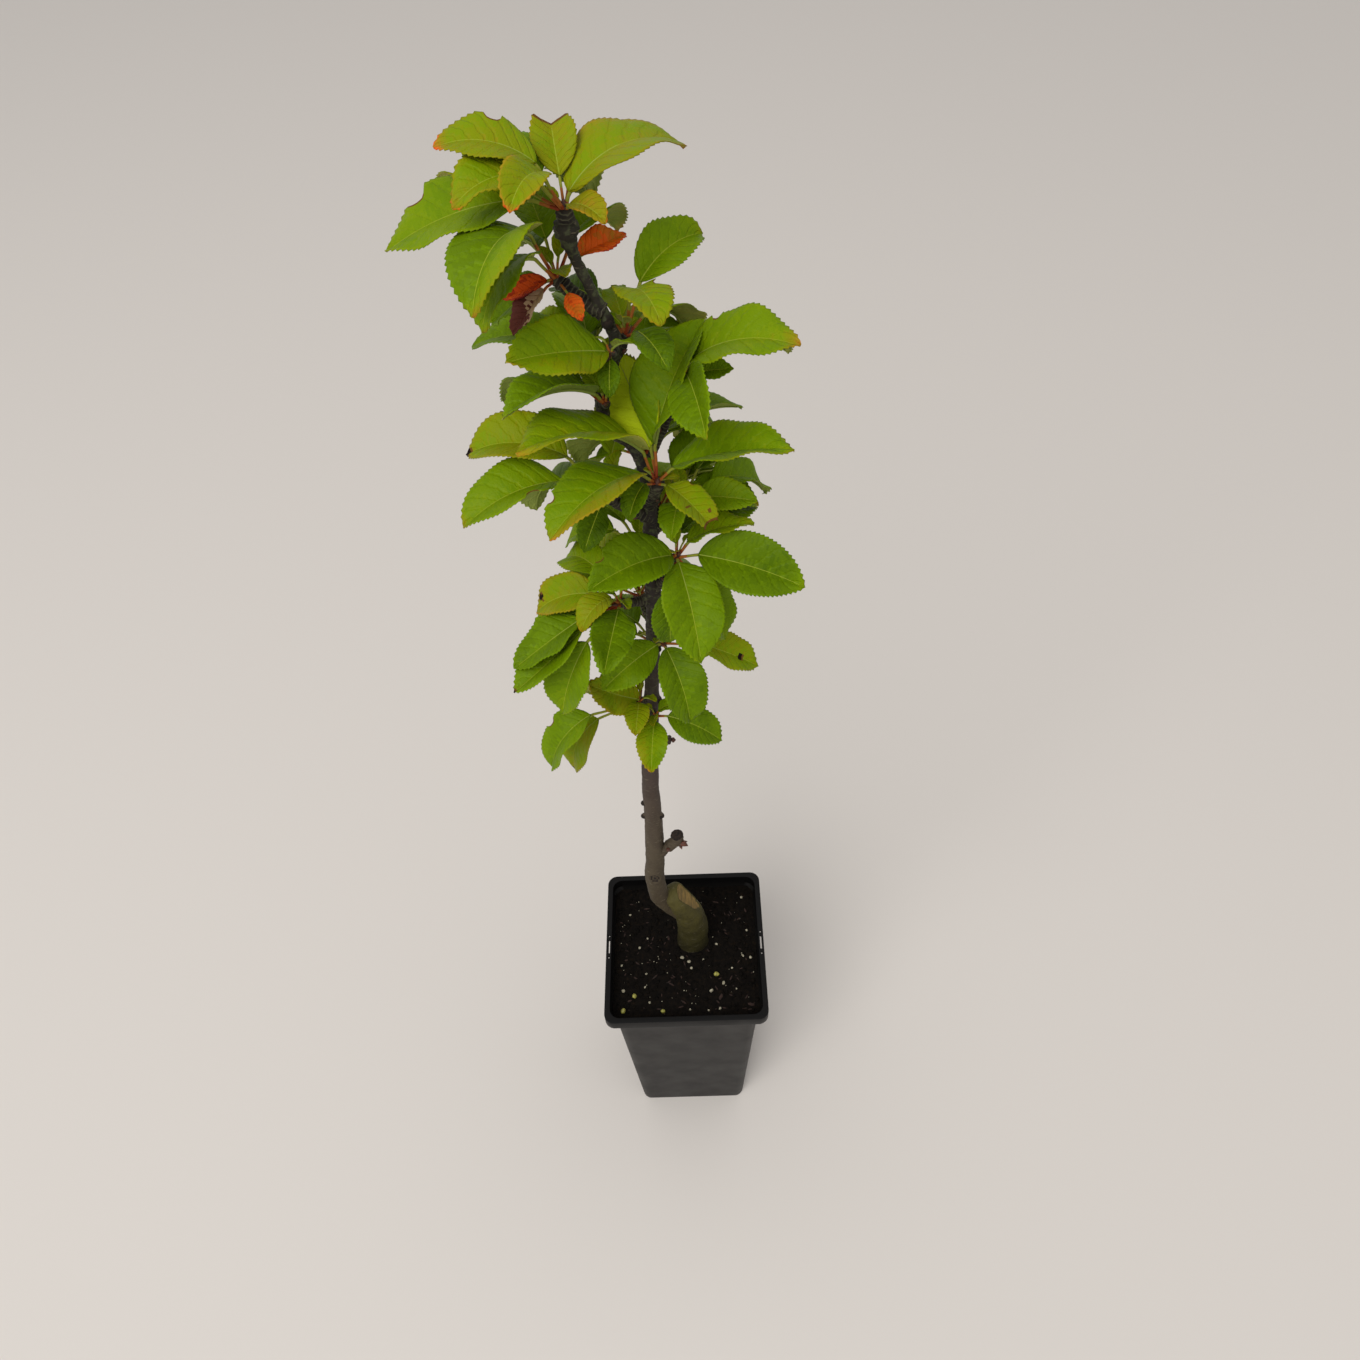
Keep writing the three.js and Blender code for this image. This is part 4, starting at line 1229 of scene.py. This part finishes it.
class TREE_OT_pot(bpy.types.Operator):
    """Square nursery pot with a hanging lip, two slots in its flange and drain holes"""
    bl_idname = "tree.add_pot"
    bl_label = "Add pot"

    # The slots' width and length; a rivet hole lies a step past each of their ends
    SLOT = (0.0018, 0.0115)
    RIVET = 0.0018
    RIVET_STEP = 0.0037
    DRAIN = 0.012
    DRAIN_SPACING = 0.028

    def execute(self, context):
        pot = context.scene.tree_pot
        bpy.ops.object.select_all(action="DESELECT")
        bpy.ops.mesh.primitive_plane_add(size=pot.foot)
        piece = context.object
        piece.name = "pot_shell"
        bpy.ops.object.mode_set(mode="EDIT")
        bpy.ops.mesh.select_all(action="SELECT")
        bpy.ops.mesh.bevel(offset=pot.corner, segments=9, affect="VERTICES")
        height = 0
        for half, z in rim_profile(pot):
            draw_square(half, z, z - height)
            height = z
        bpy.ops.mesh.select_all(action="SELECT")
        bpy.ops.mesh.normals_make_consistent(inside=False)
        bpy.ops.object.mode_set(mode="OBJECT")
        drills = self.drills(pot)
        apply_modifier(piece, "BOOLEAN", operation="DIFFERENCE", object=drills, solver="EXACT")
        bpy.data.objects.remove(drills)
        apply_modifier(piece, "BEVEL", width=0.0004, segments=3, limit_method="ANGLE",
                       angle_limit=math.radians(40))
        piece.data.materials.append(moulded_polypropylene())
        pick(piece)
        bpy.ops.object.shade_smooth_by_angle(angle=math.radians(30))
        hand_over(piece, "pot", "pot")
        return {"FINISHED"}

    def drills(self, pot):
        """Everything that is cut out of the pot, as one object"""
        made = []

        def drill(x, y, z, width):
            bpy.ops.mesh.primitive_cylinder_add(
                vertices=24, radius=width / 2, depth=3 * pot.wall, location=(x, y, z))
            made.append(bpy.context.object)

        flange = (pot.collar / 2 + pot.lip / 2 - pot.skirt) / 2
        for x in (-flange, flange):
            bpy.ops.mesh.primitive_cube_add(size=1, location=(x, 0, pot.height))
            bpy.context.object.scale = (*self.SLOT, 3 * pot.wall)
            made.append(bpy.context.object)
            for end in (-1, 1):
                drill(x, end * (self.SLOT[1] / 2 + self.RIVET_STEP), pot.height, self.RIVET)
        for column in (-1, 0, 1):
            for row in (-1, 0, 1):
                if (column, row) != (0, 0):
                    drill(column * self.DRAIN_SPACING, row * self.DRAIN_SPACING, 0, self.DRAIN)
        bpy.ops.object.select_all(action="DESELECT")
        for cutter in made:
            cutter.select_set(True)
        bpy.context.view_layer.objects.active = made[0]
        bpy.ops.object.join()
        return bpy.context.object


# Larger grains on the soil: (x, y, width), and the shares of these that they are laid with
WHITE_GRAINS = [
    (-55, -35, 4), (3, -10, 4), (33, -30, 4.2), (22, -37, 4.4), (51, -6, 3.6), (58, -8, 3.4),
    (16, -9, 3.4), (-3, -6, 4.2), (5, -16, 3), (-50, 36, 2.8), (-57, -12, 2.8), (-35, -20, 2.6),
    (-36, -32, 2.8), (-32, -46, 2.8), (28, 6, 3.2), (53, 50, 3.2), (-34, 13, 2.4), (-41, 4, 3),
    (56, 18, 2.8), (44, -36, 2), (29, -53, 3), (3, -53, 2.6), (19, -54, 2.2), (41, -17, 2.4),
]
WHITE_SHARES = (0.93, 0.95, 0.78)
FEED_BEADS = [(-42, -39, 4.2), (-51, -52, 4.8), (-19, -53, 3.8), (25, -22, 4.4)]
FEED_SHARES = (1, 0.97, 1)
RED_CHIPS = [(28, -43, 6), (52, 37, 4), (-46, -44, 4), (52, -50, 6)]
RED_SHARES = (1, 0.95, 1)
# Seeded ones: how many, and how far in they keep from the wall
LOOSE_CHIPS = 90
LOOSE_WHITE = 70
CRUMB_MARGIN, WHITE_MARGIN, CHIP_MARGIN = 2, 3, 4
# No seeded grain lies this near to the stock's middle, nor in the mouth's corners
STOCK_REACH = 14
CORNER_CUT = 5
# The surface: how far it has settled, and the size and share of its lumps
SETTLED = 0.8
SOIL_LUMPS = [(17, 1), (6, 0.5), (2.2, 0.35)]
# The mound against the stock: its height, how far out it is whole, and over what length it fades
MOUND, MOUND_REACH, MOUND_FADE = 2.2, 12, 5
# Dents of a grain: share of its radius, and how closely they follow each other
DENT, DENT_PITCH = 0.35, 1.7


def soil_height(x, y, unevenness):
    """The soil's surface, mounded a little against the stock"""
    place = Vector((x, y, 0))
    lump = sum(share * noise.noise(place / size) for size, share in SOIL_LUMPS)
    out = max(0, math.hypot(x - STOCK[0][0], y - STOCK[0][1]) - MOUND_REACH)
    mound = MOUND * math.exp(-(out / MOUND_FADE) ** 2)
    return SOIL_TOP - SETTLED + unevenness * lump + mound


def grain_points(base, x, y, z, size, hand):
    """One grain: a base form stretched, turned and knocked out of shape"""
    turn = Matrix.Rotation(hand.uniform(0, 6.3), 3, "Z") @ Matrix.Rotation(hand.uniform(-0.4, 0.4), 3, "X")
    place = Vector((x, y, 0))
    dents = 1 + DENT * np.array([noise.noise(Vector(point) * DENT_PITCH + place) for point in base])
    points = base * dents[:, None] * np.array(size) / 2
    return points @ np.array(turn).T + np.array([x, y, z])


def base_form(level):
    """Points and faces of an icosphere of radius 1"""
    bpy.ops.object.select_all(action="DESELECT")
    bpy.ops.mesh.primitive_ico_sphere_add(subdivisions=level, radius=1)
    ball = bpy.context.object
    points = np.array([vertex.co for vertex in ball.data.vertices])
    faces = np.array([face.vertices for face in ball.data.polygons])
    bpy.data.objects.remove(ball)
    return points, faces


class TREE_OT_soil(bpy.types.Operator):
    """Potting mix with crumbs, white grains, feed beads and bark chips"""
    bl_idname = "tree.add_soil"
    bl_label = "Add soil"

    CELLS = 100
    FLOOR = 0.0023
    # How far the soil keeps inside the pot's wall
    INSIDE = 0.0005

    def execute(self, context):
        pot = context.scene.tree_pot
        soil = context.scene.tree_soil
        bump_height = soil.unevenness / MM
        inner = [wall_at(pot, z) - pot.wall for z in (self.FLOOR, pot.shoulder)]
        climb = (SOIL_TOP * MM - pot.shoulder) / (pot.height - pot.drop - pot.shoulder)
        inner.append(inner[1] + (pot.mouth / 2 - inner[1]) * climb)
        wall = [half - self.INSIDE for half in inner]
        self.surface(pot, wall, bump_height)
        self.grains(wall[-1] / MM, bump_height, soil.crumbs)
        return {"FINISHED"}

    def surface(self, pot, wall, bump_height):
        """The block of soil, whose top is the uneven surface"""
        bpy.ops.object.select_all(action="DESELECT")
        bpy.ops.mesh.primitive_grid_add(
            x_subdivisions=self.CELLS, y_subdivisions=self.CELLS, size=2 * wall[-1])
        piece = bpy.context.object
        piece.name = "soil_surface"
        for vertex in piece.data.vertices:
            x, y = vertex.co.x, vertex.co.y
            reach = max(abs(x), abs(y))
            if reach > 0:
                # The ring of the grid at this reach gets corners of the pot's own roundness
                corner = reach / wall[-1] * pot.corner
                straight = reach - corner
                over_x, over_y = max(0, abs(x) - straight), max(0, abs(y) - straight)
                if over_x > 0 and over_y > 0:
                    turn = math.atan2(over_y, over_x)
                    x = math.copysign(straight + corner * math.cos(turn), x)
                    y = math.copysign(straight + corner * math.sin(turn), y)
            vertex.co = (x, y, soil_height(x / MM, y / MM, bump_height) * MM)
        bpy.ops.object.mode_set(mode="EDIT")
        bpy.ops.mesh.select_all(action="SELECT")
        bpy.ops.mesh.region_to_loop()
        for half, above, z in ((wall[1], wall[2], pot.shoulder), (wall[0], wall[1], self.FLOOR)):
            bpy.ops.mesh.extrude_region_move()
            form = bmesh.from_edit_mesh(piece.data)
            for vertex in form.verts:
                if vertex.select:
                    vertex.co = (vertex.co.x * half / above, vertex.co.y * half / above, z)
            bmesh.update_edit_mesh(piece.data)
        bpy.ops.mesh.edge_face_add()
        bpy.ops.mesh.select_all(action="SELECT")
        bpy.ops.mesh.normals_make_consistent(inside=False)
        bpy.ops.object.mode_set(mode="OBJECT")
        piece.data.materials.append(damp_peat_mix())
        bpy.ops.object.shade_smooth_by_angle(angle=math.radians(60))
        hand_over(piece, "soil", "soil")

    def grains(self, half, bump_height, crumbs):
        """Crumbs, chips, white grains and feed beads, each sunk in the surface by a share of itself"""
        hand = random.Random(SEED + 1)
        coarse, fine = base_form(1), base_form(2)
        kinds = {name: Shapes() for name in ("soil_crumbs", "bark_chips", "perlite_grains", "feed_beads")}

        def lay(kind, form, x, y, size, sunk):
            z = soil_height(x, y, bump_height) + size[2] * (0.5 - sunk)
            kinds[kind].add(grain_points(form[0], x, y, z, size, hand), [form[1]])

        def free_place(margin):
            """A seeded place inside the mouth and clear of the stock"""
            while True:
                x, y = hand.uniform(-1, 1) * (half - margin), hand.uniform(-1, 1) * (half - margin)
                inside = abs(x) + abs(y) < 2 * (half - margin) - CORNER_CUT
                if inside and math.hypot(x - STOCK[0][0], y - STOCK[0][1]) > STOCK_REACH:
                    return x, y

        for _ in range(crumbs):
            width = 0.9 + 2.6 * hand.random() ** 3
            size = (width * hand.uniform(0.8, 1.6), width, width * hand.uniform(0.6, 1))
            lay("soil_crumbs", coarse, *free_place(CRUMB_MARGIN), size, sunk=0.35)
        for _ in range(LOOSE_CHIPS):
            width = hand.uniform(0.8, 1.8)
            place = free_place(CHIP_MARGIN)
            lay("bark_chips", coarse, *place, (width * hand.uniform(2, 4), width, 0.7), sunk=0.2)
        for x, y, width in np.array(RED_CHIPS) * RED_SHARES:
            lay("bark_chips", fine, x, y, (width, width * 0.45, 1.4), sunk=0.1)
        for x, y, width in np.array(WHITE_GRAINS) * WHITE_SHARES:
            size = (width, width * hand.uniform(0.7, 1), width * 0.7)
            lay("perlite_grains", fine, x, y, size, sunk=0.25)
        for _ in range(LOOSE_WHITE):
            width = 0.5 + 0.9 * hand.random() ** 2
            size = (width, width * 0.8, width * 0.7)
            lay("perlite_grains", coarse, *free_place(WHITE_MARGIN), size, sunk=0.2)
        for x, y, width in np.array(FEED_BEADS) * FEED_SHARES:
            lay("feed_beads", fine, x, y, (width, width * 0.85, width * 0.75), sunk=0.15)
        looks = {"soil_crumbs": damp_peat_mix(), "bark_chips": barky_chip(),
                 "perlite_grains": expanded_perlite(), "feed_beads": coated_feed()}
        for name, shapes in kinds.items():
            hand_over(shapes.piece(name, [looks[name]]), "soil")


class TREE_OT_trunk(bpy.types.Operator):
    """Old stock with its sawn shoulder, and the grafted stem that leaves its side"""
    bl_idname = "tree.add_trunk"
    bl_label = "Add trunk"

    STEP = 1.1
    AROUND = 44
    STOCK_SLOT, SAWN_SLOT, DEAD_SLOT = 1, 2, 3
    CUT_RIM = 0.8
    CUT_DEPTH = 0.5
    # The stem swells where each spur leaves it: share of the radius, and over what length
    SWELLING = (0.13, 5)
    # Rings of past buds: depth as a share, width, and from and to what gap between them
    GROOVE = (0.1, 0.8)
    GROOVE_GAPS = (4, 16)
    # The stem grows knobbly from this height on, and fully so this much above it
    ROUGH_FROM = (560, 80)
    # Wrinkles of the tip: share of the radius and step, the height where they start, and how much
    # above it they are whole
    WRINKLE = (0.07, 2.1)
    WRINKLE_FROM = (803, 12)
    # The eye knot's raised lip and sunk ring: distance from its middle, width and height
    EYE_RINGS = [(4, 1.1, 1.1), (2.2, 0.7, -0.5)]

    def execute(self, context):
        relief_share = context.scene.tree_wood.relief
        looks = [stem_bark(), stock_bark(), sawn_heartwood(), dead_wood()]
        stock, stem = self.stock(relief_share, looks), self.stem(relief_share, looks)
        apply_modifier(stem, "BOOLEAN", operation="UNION", object=stock, solver="EXACT",
                       material_mode="INDEX")
        bpy.data.objects.remove(stock)
        stem.name = "trunk_bark"
        hand_over(stem, "bark", "trunk")
        return {"FINISHED"}

    def stock(self, relief_share, looks):
        """The stock, cut off aslant with the saw's face sunk in its rim of bark"""
        lengths, points, around, radius = fine_limb(STOCK, self.STEP, self.AROUND)
        bark = skin(points, around, radius[:, None])
        lump = relief_share * lumps(bark, 9, 3.1) + 0.35 * relief_share * lumps(bark, 3, 1.7)
        radii = radius[:, None] * (1 + lump) * rounded_end(lengths, soft=5, least=0.02)
        shapes = Shapes()
        shapes.add(*tube(skin(points, around, radii)), self.STOCK_SLOT)
        piece = shapes.piece("stock_part", looks)
        pick(piece)
        lean = math.radians(SNAG_CUT["lean"])
        bpy.ops.object.mode_set(mode="EDIT")
        bpy.ops.mesh.select_all(action="SELECT")
        bpy.ops.mesh.bisect(
            plane_co=[c * MM for c in SNAG_CUT["at"]], plane_no=(math.sin(lean), 0, math.cos(lean)),
            clear_outer=True, use_fill=True)
        bpy.ops.mesh.inset(thickness=self.CUT_RIM * MM, depth=-self.CUT_DEPTH * MM)
        piece.active_material_index = self.SAWN_SLOT
        bpy.ops.object.material_slot_assign()
        bpy.ops.object.mode_set(mode="OBJECT")
        return piece

    def eye(self, places):
        """How far places are from the lowest knot's middle, an upright eye on the stem's front"""
        x, _, z, _ = KNOTS[0]
        off = places - np.array([x, STEM[4][1], z])
        return np.hypot(off[..., 0], off[..., 2] / 1.7) + 50 * (off[..., 1] > 0)

    def stem(self, relief_share, looks):
        """The stem with its swellings, grooves, bark, knots and wrinkled tip"""
        lengths, points, around, radius = fine_limb(STEM, self.STEP, self.AROUND)
        hand = random.Random(SEED + 2)
        for spray in ROSETTES:
            gap = np.linalg.norm(points - spray["root"], axis=1)
            radius = radius + self.SWELLING[0] * radius * np.exp(-(gap / self.SWELLING[1]) ** 2)
        young = smooth((points[:, 2] - self.ROUGH_FROM[0]) / self.ROUGH_FROM[1])
        place = 0
        while place < lengths[-1]:
            groove = np.exp(-((lengths - place) / self.GROOVE[1]) ** 2)
            radius = radius * (1 - self.GROOVE[0] * groove * (0.2 + 0.8 * young))
            place += hand.uniform(*self.GROOVE_GAPS)
        near_tip = smooth((points[:, 2] - self.WRINKLE_FROM[0]) / self.WRINKLE_FROM[1])
        wrinkle = np.sin(lengths * 2 * math.pi / self.WRINKLE[1]) * near_tip
        radius = radius * (1 + self.WRINKLE[0] * wrinkle)
        bark = skin(points, around, radius[:, None])
        stretched = bark * np.array([1, 1, 0.45])
        lump = relief_share * lumps(stretched, 7) + 0.4 * relief_share * lumps(bark, 2.6, 5.2)
        knobbly = 0.17 * lumps(bark, 3.4, 9.1) + 0.12 * lumps(bark, 1.5, 2.3)
        radii = radius[:, None] * (1 + lump + knobbly * young[:, None])
        radii = cover_knobs(points, around, radii, KNOTS[1:])
        eye = self.eye(skin(points, around, radii))
        for far, wide, high in self.EYE_RINGS:
            radii = radii + high * np.exp(-((eye - far) / wide) ** 2)
        radii = radii * rounded_end(lengths, soft=2.5, least=0.02)
        made, faces = tube(skin(points, around, radii))
        centres = made[faces[0]].mean(1)
        eye = self.eye(centres)
        dead = (eye < 1.2) | ((eye > 2) & (eye < 3.1))
        for x, y, z, diameter in KNOTS[1:]:
            dead |= np.linalg.norm(centres - np.array([x, y, z]), axis=1) < diameter * 0.56
        slots = np.zeros(sum(len(block) for block in faces), int)
        slots[:len(centres)][dead] = self.DEAD_SLOT
        shapes = Shapes()
        shapes.add(made, faces, slots)
        return shapes.piece("stem_part", looks)


def ringed_limb(stations, step, count, gap, salt, bury=0.0, dome=1.5, knobs=()):
    """A spur-like limb with a scar ring to each gap and a domed end. Its first millimetres are
    buried in the wood that it grows from, and a flare fades out from there"""
    lengths, points, around, radius = fine_limb(stations, step, count)
    beat = (lengths + 0.5 * np.sin(lengths * 0.9 + salt)) / gap
    radius = radius * (0.9 + 0.18 * np.abs(np.sin(math.pi * beat)) ** 0.6)
    radius = radius * (1 + 0.4 * np.exp(-np.maximum(lengths - bury, 0) / 2.5) * (bury > 0))
    bark = skin(points, around, radius[:, None])
    radii = radius[:, None] * (1 + 0.2 * lumps(bark, 3.2, salt) + 0.14 * lumps(bark, 1.3, salt + 5))
    radii = cover_knobs(points, around, radii, knobs) * rounded_end(lengths, dome, least=0.05)
    made, faces = tube(skin(points, around, radii))
    along = np.concatenate([np.repeat(lengths, count), lengths[:1], lengths[-1:]])
    return made, faces, along


class TREE_OT_stubs(bpy.types.Operator):
    """Two stubs of cut-back side branches low on the stem"""
    bl_idname = "tree.add_stubs"
    bl_label = "Add stub branches"

    DEAD_SLOT, BUD_SLOT = 1, 2
    LOW_AROUND = 28
    DEAD_TOP = 1.8
    # A dried bud and torn scales hang from the low stub's cut end: place, direction, length, width
    LOW_BUDS = [
        ((2, 3, 386.5), (0.8, -0.35, -0.3), 6, 4.2), ((3, 2.6, 387), (0.95, -0.2, 0.5), 4.5, 2.2),
        ((1.5, 2, 385), (0.3, -0.6, -0.75), 4, 2.4), ((-7, 2.4, 379), (-0.1, -0.9, 0.35), 3.4, 3),
    ]
    SHORT_BUDS = [((0.6, 6.5, 503), (1, -0.1, 0.1), 2.6, 3.4)]

    def execute(self, context):
        looks = [stem_bark(), dead_wood(), bud_scales()]
        low = ringed_limb(LOW_STUB, step=0.7, count=self.LOW_AROUND, gap=5, salt=1.0, bury=6, dome=1.0,
                          knobs=LOW_STUB_KNOBS)
        points, faces, _ = low
        dead = points[faces[0]].mean(1)[:, 2] > LOW_STUB[-1][2] - self.DEAD_TOP
        ends = np.repeat([0, self.DEAD_SLOT], self.LOW_AROUND)
        self.stub("low", low, np.append(dead * self.DEAD_SLOT, ends), self.LOW_BUDS, looks)
        short = ringed_limb(SHORT_STUB, step=0.5, count=24, gap=2.1, salt=4.0, bury=5, dome=0.9)
        self.stub("short", short, 0, self.SHORT_BUDS, looks)
        return {"FINISHED"}

    def stub(self, name, limb, slots, buds, looks):
        """One stub with its buds, in place of its solid"""
        made, faces, along = limb
        shapes = Shapes()
        shapes.add(made, faces, slots, along)
        for bud in buds:
            add_bud(shapes, *bud, self.BUD_SLOT)
        hand_over(shapes.piece(f"{name}_stub_branch", looks, "along_mm"), "bark", f"stub_branch_{name}")


class TREE_OT_spurs(bpy.types.Operator):
    """Boughs, their ringed spurs and the buds on them"""
    bl_idname = "tree.add_spurs"
    bl_label = "Add boughs, spurs and buds"

    AROUND = 18

    def execute(self, context):
        gap = context.scene.tree_wood.ring_gap / MM
        boughs, spurs, buds = Shapes(), Shapes(), Shapes()
        hand = random.Random(SEED + 3)
        for n, spray in enumerate(ROSETTES):
            direction = unit(spray["at"] - spray["root"])
            if spray["bough"]:
                stations = bough_stations(spray, -SPUR_FOOT + 0.6)
                made, faces, along = ringed_limb(
                    stations, step=0.5, count=self.AROUND, gap=gap, salt=n * 1.3, bury=3)
                boughs.add(made, faces, 0, along)
                self.side_buds(buds, stations, direction, hand)
            made, faces, along = ringed_limb(
                spur_stations(spray), step=0.4, count=self.AROUND, gap=gap * 0.8, salt=n * 2.1, dome=1.6)
            spurs.add(made, faces, 0, along)
            self.end_buds(buds, spray, direction, hand)
        bark = ringed_bark()
        names = [f"bough_{spray['name']}" for spray in ROSETTES if spray["bough"]]
        hand_over(boughs.piece("boughs_bark", [bark], "along_mm"), "spur_bark", *names)
        hand_over(spurs.piece("spurs", [bark], "along_mm"), "spur_bark")
        hand_over(buds.piece("buds", [bud_scales()]), "spur_bark")
        return {"FINISHED"}

    def end_buds(self, buds, spray, direction, hand):
        """One bud at a spur's tip and three round it"""
        tip = along_spur(spray, SPUR_TIP - 1)
        add_bud(buds, tip, direction, hand.uniform(4, 5), spray["thick"] * 0.42)
        for turn in range(3):
            bearing = math.radians(turn * 120 + hand.uniform(0, 60))
            aside = np.array([math.cos(bearing), math.sin(bearing), 0.7]) + direction
            add_bud(buds, tip - direction * 1.2, aside, hand.uniform(2.8, 3.8), 1.7)

    def side_buds(self, buds, stations, direction, hand):
        """Small buds up the bough, a golden angle apart, clear of the stem"""
        at, lengths = even_steps(stations, 1)
        points, tangents, diameters = curve(stations, at)
        place, turn = 7.0, hand.uniform(0, 360)
        while place < lengths[-1] - 3:
            k = int(np.searchsorted(lengths, place))
            spoke = spokes(tangents[k:k + 1], 36)[0][int(turn // 10) % 36]
            add_bud(buds, points[k] + spoke * diameters[k] * 0.38, spoke + direction * 1.3, 3, 2)
            place += hand.uniform(6, 10)
            turn += GOLDEN_ANGLE


class TREE_OT_leaves(bpy.types.Operator):
    """Every leaf with its stalk, in place by the source's rule"""
    bl_idname = "tree.add_leaves"
    bl_label = "Add leaves"

    GROUPS = {
        "leaf_blades_crown": ["crown_top", "side_spur", "back_right", "upper_left", "middle_left",
                              "rear_high"],
        "leaf_blades_middle": ["front", "left", "right_high", "right_middle", "rear_middle",
                               "rear_upper_middle"],
        "leaf_blades_lower": ["right_low", "low_front", "low_left", "bottom_left", "bottom_right",
                              "rear_bottom", "rear_low", "rear_lower_middle"],
    }

    def execute(self, context):
        sprays = grow_sprays()
        skins, stalks = leaf_skins(), Shapes()
        hand = random.Random(SEED + 4)
        for group, names in self.GROUPS.items():
            blades = Shapes()
            for spray in sprays:
                if spray["name"] in names:
                    for placed in spray["placed"]:
                        shape, look = placed["shape"], placed["look"]
                        add_blade(blades, spray["at"], shape, look, placed["marks"], hand)
                        kept = shortened(shape, kept_length(shape, placed["marks"]))
                        add_stalk(stalks, spray["at"], kept, look, hand)
            piece = blades.piece(group, skins, "side_veins")
            apply_modifier(
                piece, "SOLIDIFY", thickness=context.scene.tree_leaf.thickness, offset=-1,
                material_offset=UPPER_SLOTS)
            hand_over(piece, "leaf", *[f"leaves_{name}" for name in names])
        hand_over(stalks.piece("leaf_stalks", stalk_skins()), "leaf")
        return {"FINISHED"}


class TREE_OT_stage(bpy.types.Operator):
    """Pale floor, soft light and the camera at the photograph's angle"""
    bl_idname = "tree.add_stage"
    bl_label = "Add floor, light and camera"

    EYE = (0.0176, -0.3769, 1.0161)
    PITCH, YAW, ROLL = math.radians(49.888), math.radians(-1.468), math.radians(3.151)
    SENSOR, FOCUS, SIDE = 36, 1023, 1360
    FLOOR_SIZE = 16
    KEY_SIZE, KEY_COLOUR = 3.2, (1, 0.99, 0.97)
    # The key light's place, and the point in the crown that it is turned to
    KEY_AT, KEY_AIM = (-1.6, -2.8, 4.4), (0, 0, 0.45)

    def execute(self, context):
        settings = context.scene.tree_stage
        bpy.ops.object.select_all(action="DESELECT")
        bpy.ops.mesh.primitive_plane_add(size=self.FLOOR_SIZE)
        floor = context.object
        floor.name = "floor"
        floor.data.materials.append(matt_floor())
        self.camera(context)
        lamp = bpy.data.lights.new("key", "AREA")
        lamp.energy, lamp.size, lamp.color = settings.key, self.KEY_SIZE, self.KEY_COLOUR
        key = bpy.data.objects.new("key", lamp)
        key.location = self.KEY_AT
        key.rotation_euler = (Vector(self.KEY_AIM) - key.location).to_track_quat("-Z", "Y").to_euler()
        context.scene.collection.objects.link(key)
        world = bpy.data.worlds.new("soft_room")
        world.use_nodes = True
        back = world.node_tree.nodes["Background"]
        back.inputs["Color"].default_value = linear("#fbfaf9")
        back.inputs["Strength"].default_value = settings.sky
        context.scene.world = world
        context.scene.view_settings.view_transform = "Standard"
        return {"FINISHED"}

    def camera(self, context):
        """The camera that the photograph was taken with, fitted to the pot"""
        sin, cos = math.sin, math.cos
        forward = Vector((sin(self.YAW) * cos(self.PITCH), cos(self.YAW) * cos(self.PITCH), -sin(self.PITCH)))
        level = Vector((cos(self.YAW), -sin(self.YAW), 0))
        down = forward.cross(level)
        right = level * cos(self.ROLL) + down * sin(self.ROLL)
        up = level * sin(self.ROLL) - down * cos(self.ROLL)
        data = bpy.data.cameras.new("photo_view")
        data.sensor_width = self.SENSOR
        data.lens = self.SENSOR * self.FOCUS / self.SIDE
        camera = bpy.data.objects.new("photo_view", data)
        turn = Matrix((right, up, -forward)).transposed()
        camera.matrix_world = Matrix.Translation(self.EYE) @ turn.to_4x4()
        context.scene.collection.objects.link(camera)
        context.scene.camera = camera


class TREE_PT_panel(bpy.types.Panel):
    """The tree's settings and the steps that build it"""
    bl_idname = "TREE_PT_panel"
    bl_label = "Potted tree"
    bl_space_type = "VIEW_3D"
    bl_region_type = "UI"
    bl_category = "Tree"

    def draw(self, context):
        scene = context.scene
        for group in (scene.tree_pot, scene.tree_soil, scene.tree_wood, scene.tree_leaf, scene.tree_stage):
            column = self.layout.column(align=True)
            for name in group.__annotations__:
                column.prop(group, name)
        for operator in OPERATORS:
            self.layout.operator(operator.bl_idname)


SETTINGS = {"tree_pot": PotSettings, "tree_soil": SoilSettings, "tree_wood": WoodSettings,
            "tree_leaf": LeafSettings, "tree_stage": StageSettings}
OPERATORS = [TREE_OT_stage, TREE_OT_pot, TREE_OT_soil, TREE_OT_trunk, TREE_OT_stubs, TREE_OT_spurs,
             TREE_OT_leaves]


def register():
    for kind in [*SETTINGS.values(), *OPERATORS, TREE_PT_panel]:
        bpy.utils.register_class(kind)
    for name, kind in SETTINGS.items():
        setattr(bpy.types.Scene, name, PointerProperty(type=kind))


def unregister():
    for name in SETTINGS:
        delattr(bpy.types.Scene, name)
    for kind in reversed([*SETTINGS.values(), *OPERATORS, TREE_PT_panel]):
        bpy.utils.unregister_class(kind)


def main():
    register()
    bpy.ops.tree.add_stage()
    bpy.ops.tree.add_pot()
    bpy.ops.tree.add_soil()
    bpy.ops.tree.add_trunk()
    bpy.ops.tree.add_stubs()
    bpy.ops.tree.add_spurs()
    bpy.ops.tree.add_leaves()


if __name__ == "__main__":
    main()
